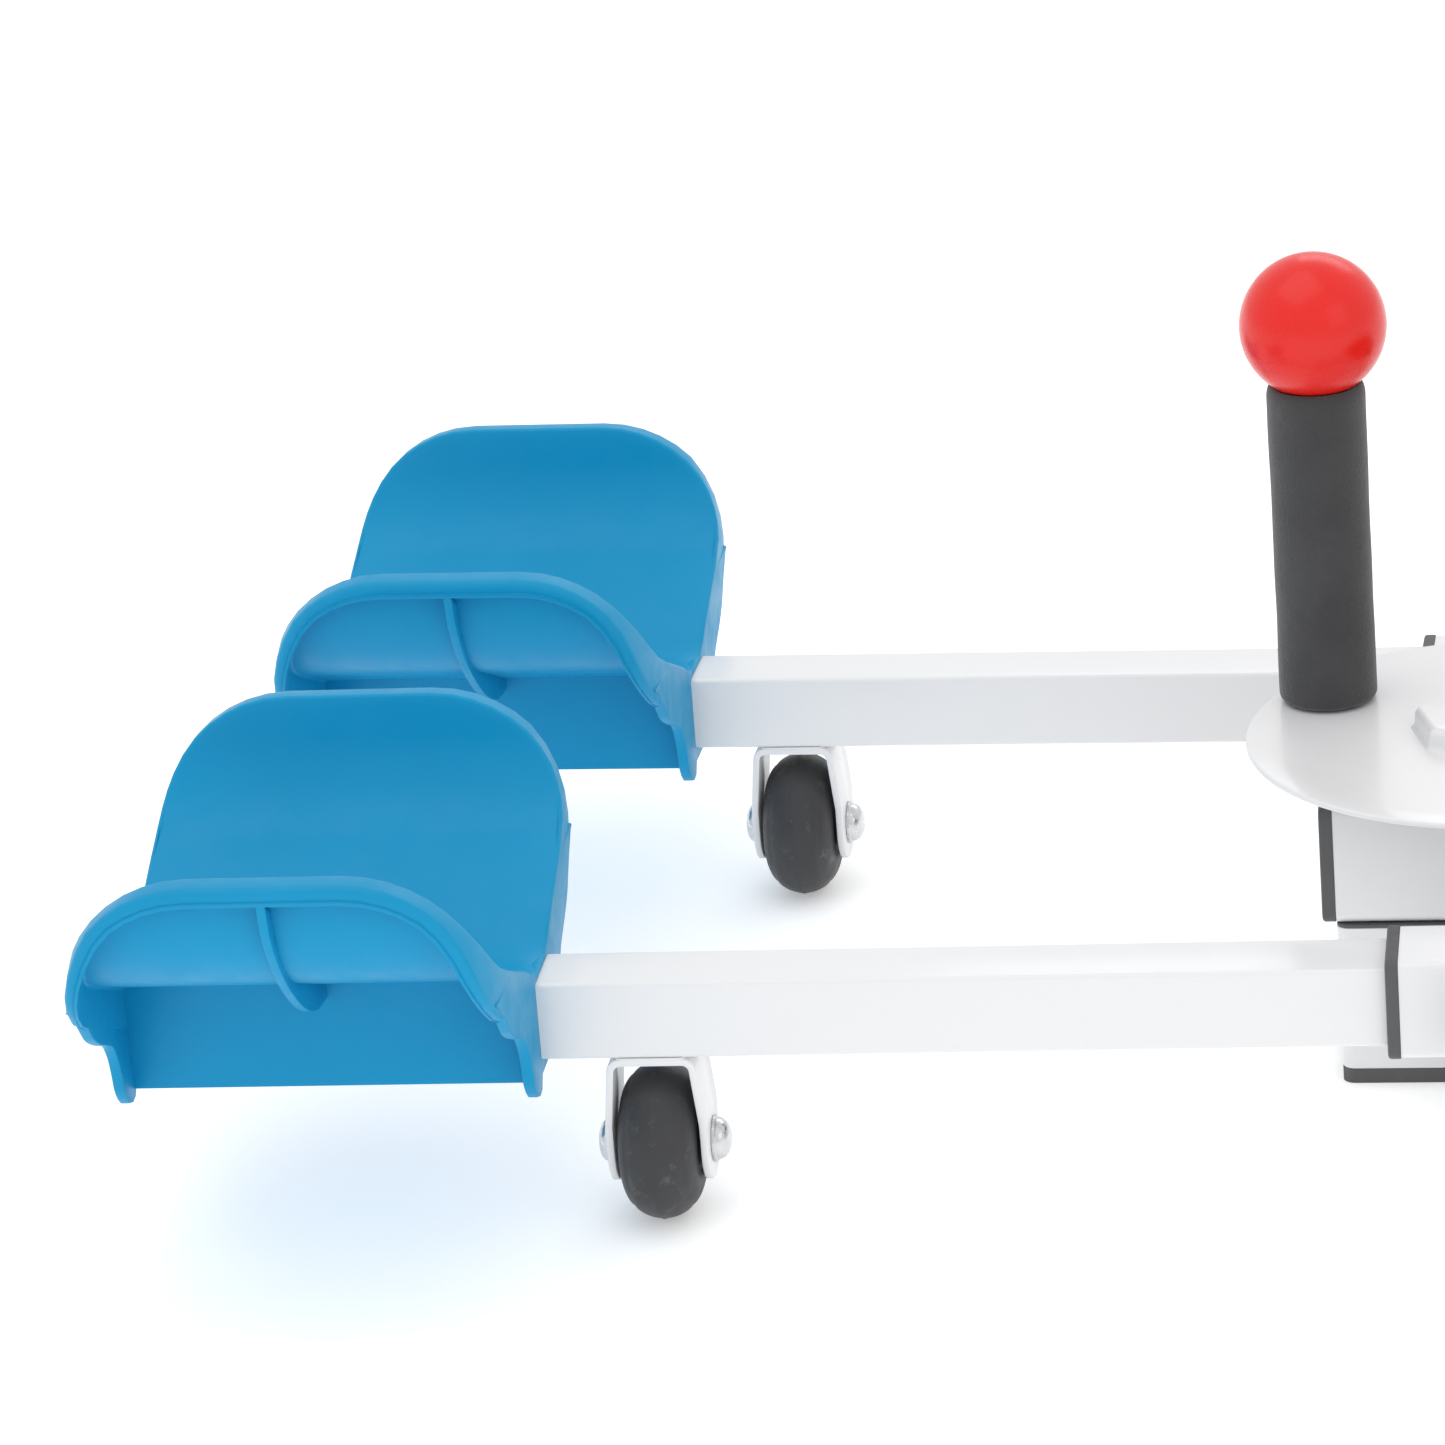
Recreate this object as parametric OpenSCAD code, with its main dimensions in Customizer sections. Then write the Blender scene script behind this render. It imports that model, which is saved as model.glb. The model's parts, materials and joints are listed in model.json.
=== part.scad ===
// Floor-level leg-spreading stretcher: two castered arms with calf cradles
// swing apart on vertical pivots, driven through gears by a hand crank.
// Millimetres. +X runs from the cradles to the seat, +Y to the far arm, +Z up.
// The floor is z = 0.

/* [Tubes] */
// Width of the square inner (leg) tube
leg_tube_w = 25.4; // [25:0.1:26]
// Width of the square outer (sleeve) tube
sleeve_w = 31.75; // [31:0.25:34]
// Wall thickness of the square tubes
tube_wall = 1.5; // [1.2:0.1:1.6]
// Height of the arm tubes' centre line above the floor
tube_z = 70.5; // [70:0.5:72]
// Width of the main beam, across the machine
beam_w = 76.8; // [74:0.2:77]
// Height of the main beam
beam_h = 40; // [38:1:42]
// Underside of the main beam above the floor
beam_z = 55; // [55:0.5:56]
// Wall thickness of the beam, the front post and the rear foot
beam_wall = 2.5; // [2:0.1:3]

/* [Layout] */
// Distance of the handwheel axis behind the model's origin
origin_shift = 17.8; // [10:0.1:24]
// Start of the main beam, from the handwheel axis
beam_x0 = -52.8; // [-54:0.2:-50]
// End of the main beam, from the handwheel axis
beam_x1 = 385; // [375:5:400]
// Distance of each arm pivot from the centre line
pivot_y = 48; // [48:1:48]
// Sideways distance from a pivot to its arm's centre line
arm_offset = 77.1; // [76:0.1:78]
// Angle by which each arm stands open when the machine is closed
splay = 1; // [0:0.5:1.5]
// Distance from pivot to wheel along the near arm
near_reach = 347.1; // [340:0.1:350]
// Distance from pivot to wheel along the far arm
far_reach = 338.3; // [335:0.1:345]

/* [Handwheel] */
// Radius of the handwheel disc
disc_r = 81.8; // [78:0.2:84]
// Thickness of the handwheel disc
disc_t = 2; // [1.5:0.5:3]
// Underside of the handwheel disc above the floor
disc_z = 104.4; // [104:0.2:106]
// Distance of the hand grip from the handwheel axis
crank_r = 64.5; // [60:0.5:66]
// Direction of the hand grip from the handwheel axis
crank_angle = 152; // [145:1:160]
// Radius of the foam grip
grip_r = 15.9; // [15:0.1:17]
// Length of the foam grip
grip_len = 104; // [100:1:112]
// Radius of the ball knob
ball_r = 23.5; // [22:0.5:25]

/* [Cradles] */
// Length of a calf cradle along the arm
cradle_len = 132.4; // [128:0.2:136]
// Gap between the wheel axis plane and the cradle, along the arm
cradle_gap = 33.6; // [31:0.1:36]
// Wall thickness of the moulding
shell_t = 2.8; // [2.4:0.1:3.2]
// Greatest depth of the rim flange outside the trough
rim_depth = 16; // [14:0.5:17]
// Half the cradle's width over the rim
rim_y = 84.5; // [82:0.5:86]
// Height of the trough's lowest point above the tube centre
trough_z = 14.8; // [14.6:0.2:17]
// Slope of the trough's flanks
flank_angle = 24; // [22:1:26]
// Height of the lips' top above the tube centre
lip_z = 76.3; // [75:0.1:78]
// Radius of the lips' top corners, seen from the side
lip_corner_r = 43; // [36:1:46]

/* [Wheels] */
// Radius of a caster wheel
wheel_r = 24.8; // [24:0.2:25]
// Width of a caster wheel
wheel_w = 24.6; // [24:0.2:25]
// Thickness of the bent fork plate
fork_t = 2.4; // [2:0.1:2.6]

/* [Seat] */
// Length of the seat
seat_len = 268; // [250:2:270]
// Width of the seat
seat_w = 240; // [220:5:260]
// Thickness of the seat pad
pad_t = 44; // [36:2:50]

/* [Gears] */
// Gear module: pitch diameter over tooth count
gear_module = 2; // [2:1:2]
// Teeth on each arm gear
arm_teeth = 48; // [48:1:48]
// Teeth on the idler gear
idler_teeth = 24; // [24:1:24]
// Teeth on the drive pinion
pinion_teeth = 10; // [10:1:10]
// Play along the pitch circle between meshed teeth
backlash = 0.3; // [0.2:0.05:0.4]

/* [Hidden] */

$fn = 64;
near = -1;
far = 1;

// Gear train: all centres follow from the tooth counts
arm_pitch_r = gear_module * arm_teeth / 2;
idler_pitch_r = gear_module * idler_teeth / 2;
pinion_pitch_r = gear_module * pinion_teeth / 2;
idler_x = pinion_pitch_r + idler_pitch_r;
pivot_x = idler_x + sqrt(pow(arm_pitch_r + idler_pitch_r, 2) - pow(pivot_y, 2));
pressure_angle = 25;
addendum = 0.8 * gear_module;
dedendum = 1.1 * gear_module;
idler_bearing = atan2(pivot_y, idler_x - pivot_x);
near_gear_turn = 0;
far_gear_turn = mesh_turn(90, near_gear_turn, arm_teeth, arm_teeth);
idler_turn = mesh_turn(idler_bearing, near_gear_turn, arm_teeth, idler_teeth);
pinion_turn = mesh_turn(180, idler_turn, idler_teeth, pinion_teeth);

// Heights inside the gear case
case_z0 = 8;
case_plate = 3;
case_top = 46;
lower_gear_z = 15;
gear_face = 8;
upper_gear_z = 25;
case_x0 = beam_x0 + 36.4;
case_x1 = pivot_x + arm_pitch_r + 7;
case_y = pivot_y + arm_pitch_r + 7;
case_corner = 12;

// Post, pads and feet
post_len = 36;
foot_t = 4.9;
pad_gap = 1.1;
post_top = beam_z - pad_gap;
cap_t = 4.4;
bar_x = 300;
bar_w = 40;
bar_len = 340;

// Shafts and their running clearance
shaft_r = 6;
running = 0.05;
bush_r = 9;

// Arm
sleeve_front = -116.7;
sleeve_rear = 9.5;
collar_t = 4;
plate_t = 6;
plate_top = tube_z - sleeve_w / 2;
plate_z = plate_top - plate_t;
plate_front = -60;
hub_r = 18;
knob_x = -85;
boss_t = 2.5;
stud_r = 4;
tube_corner = 1.5;
tube_rear_gap = 20;

// Cradle cross-section, relative to the tube centre
notch_r = 34;
upper_r = 34;
flank_y = 54;
flank_z = trough_z + notch_r + flank_y * tan(flank_angle) - notch_r / cos(flank_angle);
lip_angle = 85;
lip_y = flank_y + upper_r * (sin(lip_angle) - sin(flank_angle));
lip_bend_z = flank_z + upper_r * (cos(flank_angle) - cos(lip_angle));
socket_y = 16.2;
socket_z = -18.5;
socket_end = 12;
end_t = 3.7;
rim_t = 7;
rib_t = 2.9;

// Fork
axle_r = 4;
fork_top_y = 13.5;
fork_low_y = 15.9;
fork_half = 12.5;

// Seat
seat_x0 = 112;
board_t = 12;
seat_z = beam_z + beam_h;

// ---------- shared shapes ----------

function mesh_turn(bearing, turn, teeth_a, teeth_b) =
    bearing + 180 + (bearing - turn) * teeth_a / teeth_b + 180 / teeth_b;

function inv(a) = tan(a) * 180 / PI - a;

// Angle from a tooth's middle to its flank at radius r
function flank_at(r, pitch_r, teeth) =
    let (base_r = pitch_r * cos(pressure_angle))
    90 / teeth - backlash / 2 / pitch_r * 180 / PI + inv(pressure_angle) - inv(acos(min(1, base_r / r)));

function gear_points(teeth) =
    let (
        pitch_r = gear_module * teeth / 2,
        base_r = pitch_r * cos(pressure_angle),
        tip_r = pitch_r + addendum,
        root_r = pitch_r - dedendum,
        low_r = max(base_r, root_r + 0.05),
        steps = 5,
        radii = [for (i = [0 : steps]) low_r + (tip_r - low_r) * i / steps],
        root_half = flank_at(low_r, pitch_r, teeth)
    )
    [for (k = [0 : teeth - 1]) let (mid = 360 * k / teeth) each concat(
        [root_r * [cos(mid - root_half), sin(mid - root_half)]],
        [for (r = radii) let (a = mid - flank_at(r, pitch_r, teeth)) r * [cos(a), sin(a)]],
        [for (i = [steps : -1 : 0]) let (r = radii[i], a = mid + flank_at(r, pitch_r, teeth)) r * [cos(a), sin(a)]],
        [root_r * [cos(mid + root_half), sin(mid + root_half)]]
    )];

module gear(teeth, turn, z0, face) {
    translate([0, 0, z0])
        rotate([0, 0, turn])
            linear_extrude(face)
                polygon(gear_points(teeth));
}

// Square with round corners, centred, drawn with exact arcs
module round_rect(w, h, r) {
    square([w - 2 * r, h], center = true);
    square([w, h - 2 * r], center = true);
    for (sx = [-1, 1])
        for (sy = [-1, 1])
            translate([sx * (w / 2 - r), sy * (h / 2 - r)])
                circle(r, $fn = 32);
}

// Hollow rectangular tube along X from x0 to x1, centred on y = 0
module tube_x(x0, x1, w, h, zc, wall, r) {
    translate([x0, 0, zc])
        rotate([90, 0, 90])
            linear_extrude(x1 - x0)
                difference() {
                    round_rect(w, h, r);
                    round_rect(w - 2 * wall, h - 2 * wall, max(r - wall, 0.4));
                }
}

// Solid bar of the same outline
module bar_x(x0, x1, w, h, zc, r) {
    translate([x0, 0, zc])
        rotate([90, 0, 90])
            linear_extrude(x1 - x0)
                round_rect(w, h, r);
}

module disc(r, z0, z1) {
    translate([0, 0, z0])
        cylinder(r = r, h = z1 - z0);
}

// Places children in the machine's frame, from the handwheel axis
module machine() {
    translate([origin_shift, 0, 0])
        children();
}

// Places children in an arm's frame: the pivot is its origin, -X points to the cradle,
// and the tube's centre line runs at y = side * arm_offset
module arm(side) {
    machine()
        translate([pivot_x, side * pivot_y, 0])
            rotate([0, 0, -side * splay])
                children();
}

function reach(side) = side == near ? near_reach : far_reach;

module on_tube(side) {
    arm(side)
        translate([0, side * arm_offset, 0])
            children();
}

module on_leg(side) {
    on_tube(side)
        translate([-reach(side), 0, 0])
            children();
}

// ---------- base ----------

module main_beam() {
    color("#f2f3f5")
        machine()
            difference() {
                tube_x(beam_x0, beam_x1, beam_w, beam_h, beam_z + beam_h / 2, beam_wall, 4);
                disc(bush_r, beam_z + beam_h - beam_wall - 1, beam_z + beam_h + 1);
                disc(bush_r, beam_z - 1, beam_z + beam_wall + 1);
                for (p = seat_screw_points())
                    translate(p)
                        disc(3.3, beam_z + beam_h / 2, beam_z + beam_h + 1);
            }
}

module beam_cap(x_face, dir) {
    color("#4a4b4d")
        machine() {
            bar_x(min(x_face, x_face + dir * cap_t), max(x_face, x_face + dir * cap_t),
                beam_w, beam_h, beam_z + beam_h / 2, 4);
            bar_x(min(x_face, x_face - dir * 10), max(x_face, x_face - dir * 10),
                beam_w - 2 * beam_wall - 0.2, beam_h - 2 * beam_wall - 0.2, beam_z + beam_h / 2, 1.4);
        }
}

module beam_front_cap() {
    beam_cap(beam_x0, -1);
}

module beam_rear_cap() {
    beam_cap(beam_x1, 1);
}

module upright(x_mid, len, w, z0, z1, wall) {
    translate([x_mid, 0, z0])
        linear_extrude(z1 - z0)
            difference() {
                round_rect(len, w, 4);
                if (wall > 0)
                    round_rect(len - 2 * wall, w - 2 * wall, 1.5);
            }
}

module front_post() {
    color("#f2f3f5")
        machine()
            upright(beam_x0 + post_len / 2, post_len, beam_w, foot_t, post_top, beam_wall);
}

module front_post_pad() {
    color("#4a4b4d")
        machine()
            upright(beam_x0 + post_len / 2, post_len, beam_w, post_top, beam_z, 0);
}

module front_foot() {
    color("#4a4b4d")
        machine() {
            upright(beam_x0 + post_len / 2, post_len, beam_w, 0, foot_t, 0);
            upright(beam_x0 + post_len / 2, post_len - 2 * beam_wall - 0.2, beam_w - 2 * beam_wall - 0.2,
                foot_t, foot_t + 10, 0);
        }
}

module rear_foot_bar() {
    color("#f2f3f5")
        machine()
            translate([bar_x, 0, 0])
                rotate([0, 0, 90])
                    tube_x(-bar_len / 2, bar_len / 2, bar_w, post_top - foot_t, (post_top + foot_t) / 2,
                        beam_wall, 4);
}

module rear_bar_pad() {
    color("#4a4b4d")
        machine()
            translate([bar_x, 0, post_top + pad_gap / 2])
                cube([bar_w - 8, beam_w - 8, pad_gap], center = true);
}

module rear_bar_caps() {
    color("#4a4b4d")
        machine()
            for (s = [-1, 1])
                translate([bar_x, 0, 0])
                    rotate([0, 0, s * 90]) {
                        bar_x(bar_len / 2, bar_len / 2 + cap_t, bar_w, post_top - foot_t,
                            (post_top + foot_t) / 2, 4);
                        bar_x(bar_len / 2 - 10, bar_len / 2, bar_w - 2 * beam_wall - 0.2,
                            post_top - foot_t - 2 * beam_wall - 0.2, (post_top + foot_t) / 2, 1.4);
                    }
}

module rear_feet() {
    color("#4a4b4d")
        machine()
            for (s = [-1, 1])
                translate([bar_x, s * (bar_len / 2 - 30), 0])
                    difference() {
                        disc(15, 0, foot_t);
                        disc(5, -1, 2);
                    }
}

// ---------- gear case ----------

function case_screw_points() = [for (x = [case_x0 + 10, case_x1 - 10]) for (s = [-1, 1]) [x, s * (case_y - 10), 0]];

module case_outline(inset) {
    translate([(case_x0 + case_x1) / 2, 0])
        round_rect(case_x1 - case_x0 - 2 * inset, 2 * case_y - 2 * inset, case_corner - inset);
}

module at_pivots() {
    for (s = [near, far])
        translate([pivot_x, s * pivot_y, 0])
            children();
}

module gear_case() {
    color("#e9ebee")
        machine()
            difference() {
                union() {
                    translate([0, 0, case_z0])
                        linear_extrude(case_plate)
                            case_outline(0);
                    translate([0, 0, case_z0])
                        linear_extrude(case_top - case_plate - case_z0)
                            difference() {
                                case_outline(0);
                                case_outline(case_plate);
                            }
                    for (p = case_screw_points())
                        translate(p)
                            disc(5, case_z0, case_top - case_plate);
                }
                at_pivots()
                    disc(bush_r, case_z0 - 1, case_z0 + case_plate + 1);
                disc(bush_r, case_z0 - 1, case_z0 + case_plate + 1);
                translate([idler_x, 0, 0])
                    disc(shaft_r, case_z0 - 1, case_z0 + case_plate + 1);
                for (p = case_screw_points())
                    translate(p)
                        disc(2, case_top - 20, case_top);
            }
}

module gear_case_cover() {
    color("#e9ebee")
        machine()
            difference() {
                translate([0, 0, case_top - case_plate])
                    linear_extrude(case_plate)
                        case_outline(0);
                at_pivots()
                    disc(bush_r, case_z0, case_top + 1);
                disc(bush_r, case_z0, case_top + 1);
                for (p = case_screw_points())
                    translate(p)
                        disc(2, case_z0, case_top + 1);
            }
}

module case_screws() {
    color("silver")
        machine()
            for (p = case_screw_points())
                translate(p) {
                    disc(2, case_top - 18, case_top);
                    disc(4, case_top, case_top + 1.8);
                }
}

module case_spacer() {
    color("#e9ebee")
        machine()
            translate([case_x1 - 18, 0, (case_top + beam_z) / 2])
                cube([24, 24, beam_z - case_top], center = true);
}

module pivot_bushes() {
    color("#d8c9a0")
        machine()
            at_pivots()
                difference() {
                    union() {
                        disc(bush_r, case_z0, case_z0 + case_plate);
                        disc(bush_r + 2, case_z0 + case_plate, lower_gear_z);
                        disc(bush_r, case_top - case_plate, case_top);
                        disc(bush_r + 2, case_top, plate_z);
                    }
                    disc(shaft_r + running, 0, 100);
                }
}

module idler_pin() {
    color("silver")
        machine()
            translate([idler_x, 0, 0]) {
                disc(shaft_r, case_z0, case_top - case_plate);
                disc(bush_r, case_z0 + case_plate, upper_gear_z - 0.3);
            }
}

module wheel_bearing() {
    color("#4a4b4d")
        machine()
            difference() {
                union() {
                    disc(bush_r, beam_z + beam_h - beam_wall, beam_z + beam_h);
                    disc(16, beam_z + beam_h, disc_z - 0.2);
                }
                disc(shaft_r + running, 0, 200);
            }
}

module shaft_spacer() {
    color("#4a4b4d")
        machine()
            difference() {
                union() {
                    disc(bush_r, case_top - case_plate, case_top);
                    disc(13, case_top, beam_z);
                    disc(bush_r, beam_z, beam_z + beam_wall);
                }
                disc(shaft_r + running, 0, 200);
            }
}

module shaft_foot_bush() {
    color("#d8c9a0")
        machine()
            difference() {
                union() {
                    disc(bush_r, case_z0, case_z0 + case_plate);
                    disc(bush_r + 1, case_z0 + case_plate, upper_gear_z - 0.3);
                }
                disc(shaft_r + running, 0, 100);
            }
}

// ---------- seat ----------

function seat_screw_points() =
    [for (x = [seat_x0 + 40, seat_x0 + seat_len - 40]) for (s = [-1, 1]) [x, s * 24, 0]];

module seat_slab(inset, z0, z1, r) {
    translate([seat_x0 + seat_len / 2, 0, z0])
        linear_extrude(z1 - z0)
            round_rect(seat_len - 2 * inset, seat_w - 2 * inset, r);
}

module seat_board() {
    color("#3c3d40")
        machine()
            difference() {
                seat_slab(4, seat_z, seat_z + board_t, 22);
                for (p = seat_screw_points())
                    translate(p)
                        disc(3, seat_z - 1, seat_z + 10);
            }
}

module seat_pad() {
    color("#3c3d40")
        machine() {
            seat_slab(2, seat_z + board_t, seat_z + board_t + pad_t - 8, 24);
            seat_slab(8, seat_z + board_t + pad_t - 8, seat_z + board_t + pad_t, 20);
        }
}

module seat_screws() {
    color("silver")
        machine()
            for (p = seat_screw_points())
                translate(p) {
                    disc(3, seat_z - beam_wall, seat_z + 10);
                    disc(6.5, seat_z - beam_wall - 4, seat_z - beam_wall);
                }
}

// ---------- handwheel ----------

module at_crank() {
    machine()
        rotate([0, 0, crank_angle])
            translate([crank_r, 0, 0])
                children();
}

disc_top = disc_z + disc_t;
grip_z = disc_top + 0.6;
grip_top = grip_z + grip_len;
hub_h = 7;
spindle_r = 6;
sleeve_tube_r = 8.5;

module handwheel_disc() {
    color("#f4f5f6")
        difference() {
            machine()
                disc(disc_r, disc_z, disc_top, $fn = 128);
            machine()
                disc(shaft_r, 0, 200);
            at_crank()
                disc(4, 0, 200);
        }
}

module handwheel_hub() {
    color("#f4f5f6")
        machine()
            difference() {
                union() {
                    disc(34, disc_top, disc_top + 1.6);
                    translate([0, 0, disc_top + 1.6])
                        cylinder(r1 = 30, r2 = 25, h = hub_h - 1.6);
                }
                disc(shaft_r, 0, 200);
            }
}

module crank_shaft() {
    color("silver")
        machine()
            disc(shaft_r, case_z0, disc_top + hub_h);
}

module drive_pinion() {
    color("#9a9ca0")
        machine()
            difference() {
                union() {
                    gear(pinion_teeth, pinion_turn, upper_gear_z, gear_face);
                    disc(bush_r - 1.5, upper_gear_z + gear_face, case_top - case_plate - 0.5);
                }
                disc(shaft_r, 0, 200);
            }
}

module hub_nut() {
    color("silver")
        machine()
            translate([0, 0, disc_top + hub_h]) {
                cylinder(r = 10, h = 6, $fn = 6);
                translate([0, 0, 6])
                    intersection() {
                        translate([0, 0, -3])
                            sphere(8);
                        cylinder(r = 8, h = 6);
                    }
            }
}

module grip_spindle() {
    color("silver")
        at_crank() {
            disc(4, disc_z - 5, disc_top);
            translate([0, 0, disc_z - 5])
                cylinder(r = 7.5, h = 5, $fn = 6);
            disc(spindle_r, disc_top, grip_top + 2);
            disc(spindle_r + 3, grip_top + 0.4, grip_top + 2);
        }
}

module ball_knob() {
    color("#f04b45")
        at_crank()
            intersection() {
                translate([0, 0, grip_top + 2 + ball_r - 3])
                    sphere(ball_r, $fn = 96);
                disc(ball_r + 1, grip_top + 2, grip_top + 100);
            }
}

module foam_grip() {
    color("#48494b")
        at_crank()
            translate([0, 0, grip_z])
                rotate_extrude()
                    union() {
                        translate([sleeve_tube_r, 0])
                            square([grip_r - sleeve_tube_r, grip_len - 3]);
                        translate([sleeve_tube_r, 0])
                            square([grip_r - sleeve_tube_r - 3, grip_len]);
                        translate([grip_r - 3, grip_len - 3])
                            circle(3, $fn = 32);
                    }
}

module grip_tube() {
    color("silver")
        at_crank()
            difference() {
                disc(sleeve_tube_r, grip_z, grip_top);
                disc(spindle_r + running, 0, 400);
            }
}

module idler_gear() {
    color("#e8e4d8")
        machine()
            translate([idler_x, 0, 0])
                difference() {
                    gear(idler_teeth, idler_turn, upper_gear_z, gear_face);
                    disc(shaft_r + running, 0, 100);
                }
}

// ---------- arms ----------

module at_clamp(side) {
    on_tube(side)
        translate([knob_x, 0, tube_z])
            rotate([-side * 90, 0, 0])
                children();
}

module sleeve(side) {
    color("#f2f3f5")
        difference() {
            union() {
                on_tube(side)
                    tube_x(sleeve_front, sleeve_rear, sleeve_w, sleeve_w, tube_z, tube_wall, 3);
                at_clamp(side)
                    disc(9, sleeve_w / 2 - 0.5, sleeve_w / 2 + boss_t);
            }
            at_clamp(side)
                disc(stud_r + running, 8, 30);
        }
}

module guide_collar(side) {
    guide_w = sleeve_w - 2 * tube_wall;
    color("#4a4b4d")
        on_tube(side)
            difference() {
                union() {
                    bar_x(sleeve_front - collar_t, sleeve_front, sleeve_w + 0.8, sleeve_w + 0.8, tube_z, 3.4);
                    bar_x(sleeve_front, sleeve_front + 22, guide_w, guide_w, tube_z, 1.5);
                }
                bar_x(sleeve_front - collar_t - 1, sleeve_front + 23, leg_tube_w + 0.2, leg_tube_w + 0.2,
                    tube_z, 1.6);
            }
}

module sleeve_cap(side) {
    color("#4a4b4d")
        on_tube(side) {
            bar_x(sleeve_rear, sleeve_rear + 2.5, sleeve_w, sleeve_w, tube_z, 3);
            bar_x(sleeve_rear - 5, sleeve_rear, sleeve_w - 2 * tube_wall, sleeve_w - 2 * tube_wall, tube_z, 1.5);
        }
}

module swing_plate(side) {
    half = sleeve_w / 2;
    color("#f2f3f5")
        arm(side)
            mirror([0, side == near ? 1 : 0, 0])
                translate([0, 0, plate_z])
                    linear_extrude(plate_t)
                        difference() {
                            union() {
                                circle(hub_r);
                                polygon([
                                    [hub_r * 0.6, 0],
                                    [sleeve_rear, arm_offset - half],
                                    [sleeve_rear, arm_offset + half],
                                    [plate_front, arm_offset + half],
                                    [plate_front, arm_offset - half],
                                    [-hub_r * 0.9, 0]
                                ]);
                            }
                            circle(shaft_r);
                        }
}

module pivot_bolt(side) {
    color("silver")
        arm(side) {
            disc(shaft_r, case_z0, plate_top);
            translate([0, 0, plate_top])
                cylinder(r = 9, h = 7, $fn = 6);
        }
}

module arm_gear(side) {
    top_z = side == near ? upper_gear_z + gear_face : lower_gear_z + gear_face;
    color("#e8e4d8")
        machine()
            translate([pivot_x, side * pivot_y, 0])
                difference() {
                    union() {
                        gear(arm_teeth, side == near ? near_gear_turn : far_gear_turn, lower_gear_z,
                            top_z - lower_gear_z);
                        disc(14, top_z, case_top - case_plate - 0.5);
                    }
                    disc(shaft_r, 0, 100);
                    for (k = [0 : 5])
                        rotate([0, 0, 60 * k + 30])
                            translate([27, 0, 0])
                                disc(8, 0, 60);
                }
}

module clamp_knob(side) {
    knob_z = sleeve_w / 2 + boss_t + 7;
    color("#303133")
        at_clamp(side) {
            disc(stud_r, leg_tube_w / 2 + 0.15, knob_z);
            disc(8, sleeve_w / 2 + boss_t + 0.3, knob_z);
            translate([0, 0, knob_z])
                linear_extrude(13)
                    union() {
                        circle(12);
                        for (k = [0 : 4])
                            rotate([0, 0, 72 * k])
                                translate([11, 0])
                                    circle(4, $fn = 32);
                    }
        }
}

// The tube's rear end, inside the sleeve
leg_rear = near_reach - tube_rear_gap;

module leg_tube(side) {
    color("#f2f3f5")
        on_leg(side)
            tube_x(-cradle_gap - cradle_len + socket_end, leg_rear, leg_tube_w, leg_tube_w, tube_z,
                tube_wall, tube_corner);
}

module slide_plug(side) {
    slide_w = sleeve_w - 2 * tube_wall - 0.4;
    color("#4a4b4d")
        on_leg(side) {
            bar_x(leg_rear, leg_rear + 2, slide_w, slide_w, tube_z, 1.3);
            bar_x(leg_rear - 12, leg_rear, leg_tube_w - 2 * tube_wall, leg_tube_w - 2 * tube_wall, tube_z, 0.4);
        }
}

// A point of the trough's section, moved outward by t where the surface slopes at a
function out_by(p, a, t) = p + t * [sin(a), -cos(a)];

// Half of the trough's cross-section, set outward by t: a wide round bottom, a straight
// flank, a round bend and a nearly upright lip. It runs past the lip's top, where the
// side outline cuts it level.
function trough_half(t) = concat(
    [for (i = [0 : 4]) let (a = flank_angle * i / 4)
        out_by([notch_r * sin(a), trough_z + notch_r * (1 - cos(a))], a, t)],
    [for (i = [0 : 16]) let (a = flank_angle + (lip_angle - flank_angle) * i / 16)
        out_by([flank_y + upper_r * (sin(a) - sin(flank_angle)),
                flank_z + upper_r * (cos(flank_angle) - cos(a))], a, t)],
    [out_by([lip_y + 20 * cos(lip_angle), lip_bend_z + 20 * sin(lip_angle)], lip_angle, t)]
);

function flip(points) = [for (i = [len(points) - 1 : -1 : 0]) [-points[i][0], points[i][1]]];

function back(points) = [for (i = [len(points) - 1 : -1 : 0]) points[i]];

// The whole section from lip to lip, up to the height z_max
function trough_line(t, z_max = 200) = let (half = [for (p = trough_half(t)) if (p[1] < z_max) p])
    concat(flip(half), [for (i = [1 : len(half) - 1]) half[i]]);

module trough_band(t) {
    rotate([90, 0, 90])
        linear_extrude(cradle_len)
            polygon(concat(trough_line(0), back(trough_line(t))));
}

// The cradle seen from the side: flat ends set in by inset, and a top with round corners
// lowered by drop
module cradle_side(inset, drop) {
    rotate([90, 0, 0])
        translate([0, 0, -150])
            linear_extrude(300)
                union() {
                    translate([inset, -60])
                        square([cradle_len - 2 * inset, 60 + lip_z - lip_corner_r]);
                    translate([lip_corner_r, -60])
                        square([cradle_len - 2 * lip_corner_r, 60 + lip_z - drop]);
                    for (x = [lip_corner_r, cradle_len - lip_corner_r])
                        translate([x, lip_z - lip_corner_r])
                            scale([lip_corner_r - inset, lip_corner_r - drop])
                                circle(1);
                }
}

// A plate across the trough's underside, in the cross-section's plane
module cross_plate(x, t, points) {
    translate([x, 0, 0])
        rotate([90, 0, 90])
            linear_extrude(t)
                polygon(points);
}

// Outer edge of the gusset rib, a curve that swings in from the rim to the socket
function rib_edge() = [
    [84, 70], [82, 60], [76, 49], [67, 38], [56, 28], [45, 20], [34, 14.5], [25, 12], [15, 11]
];

// Outer edge of an end plate: a lobe under the rim, then a stem that ends in a small foot
function stem_edge() = [
    [rim_y - 0.2, 52], [rim_y - 0.2, 43.5], [82, 40], [76, 33], [72, 28.5], [62, 20], [56, 15.5], [49, 11],
    [37, 5], [35, 4], [31, -2], [29, -10], [28, -14], [24, -19], [18, -22], [13, socket_z + 1]
];

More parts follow.
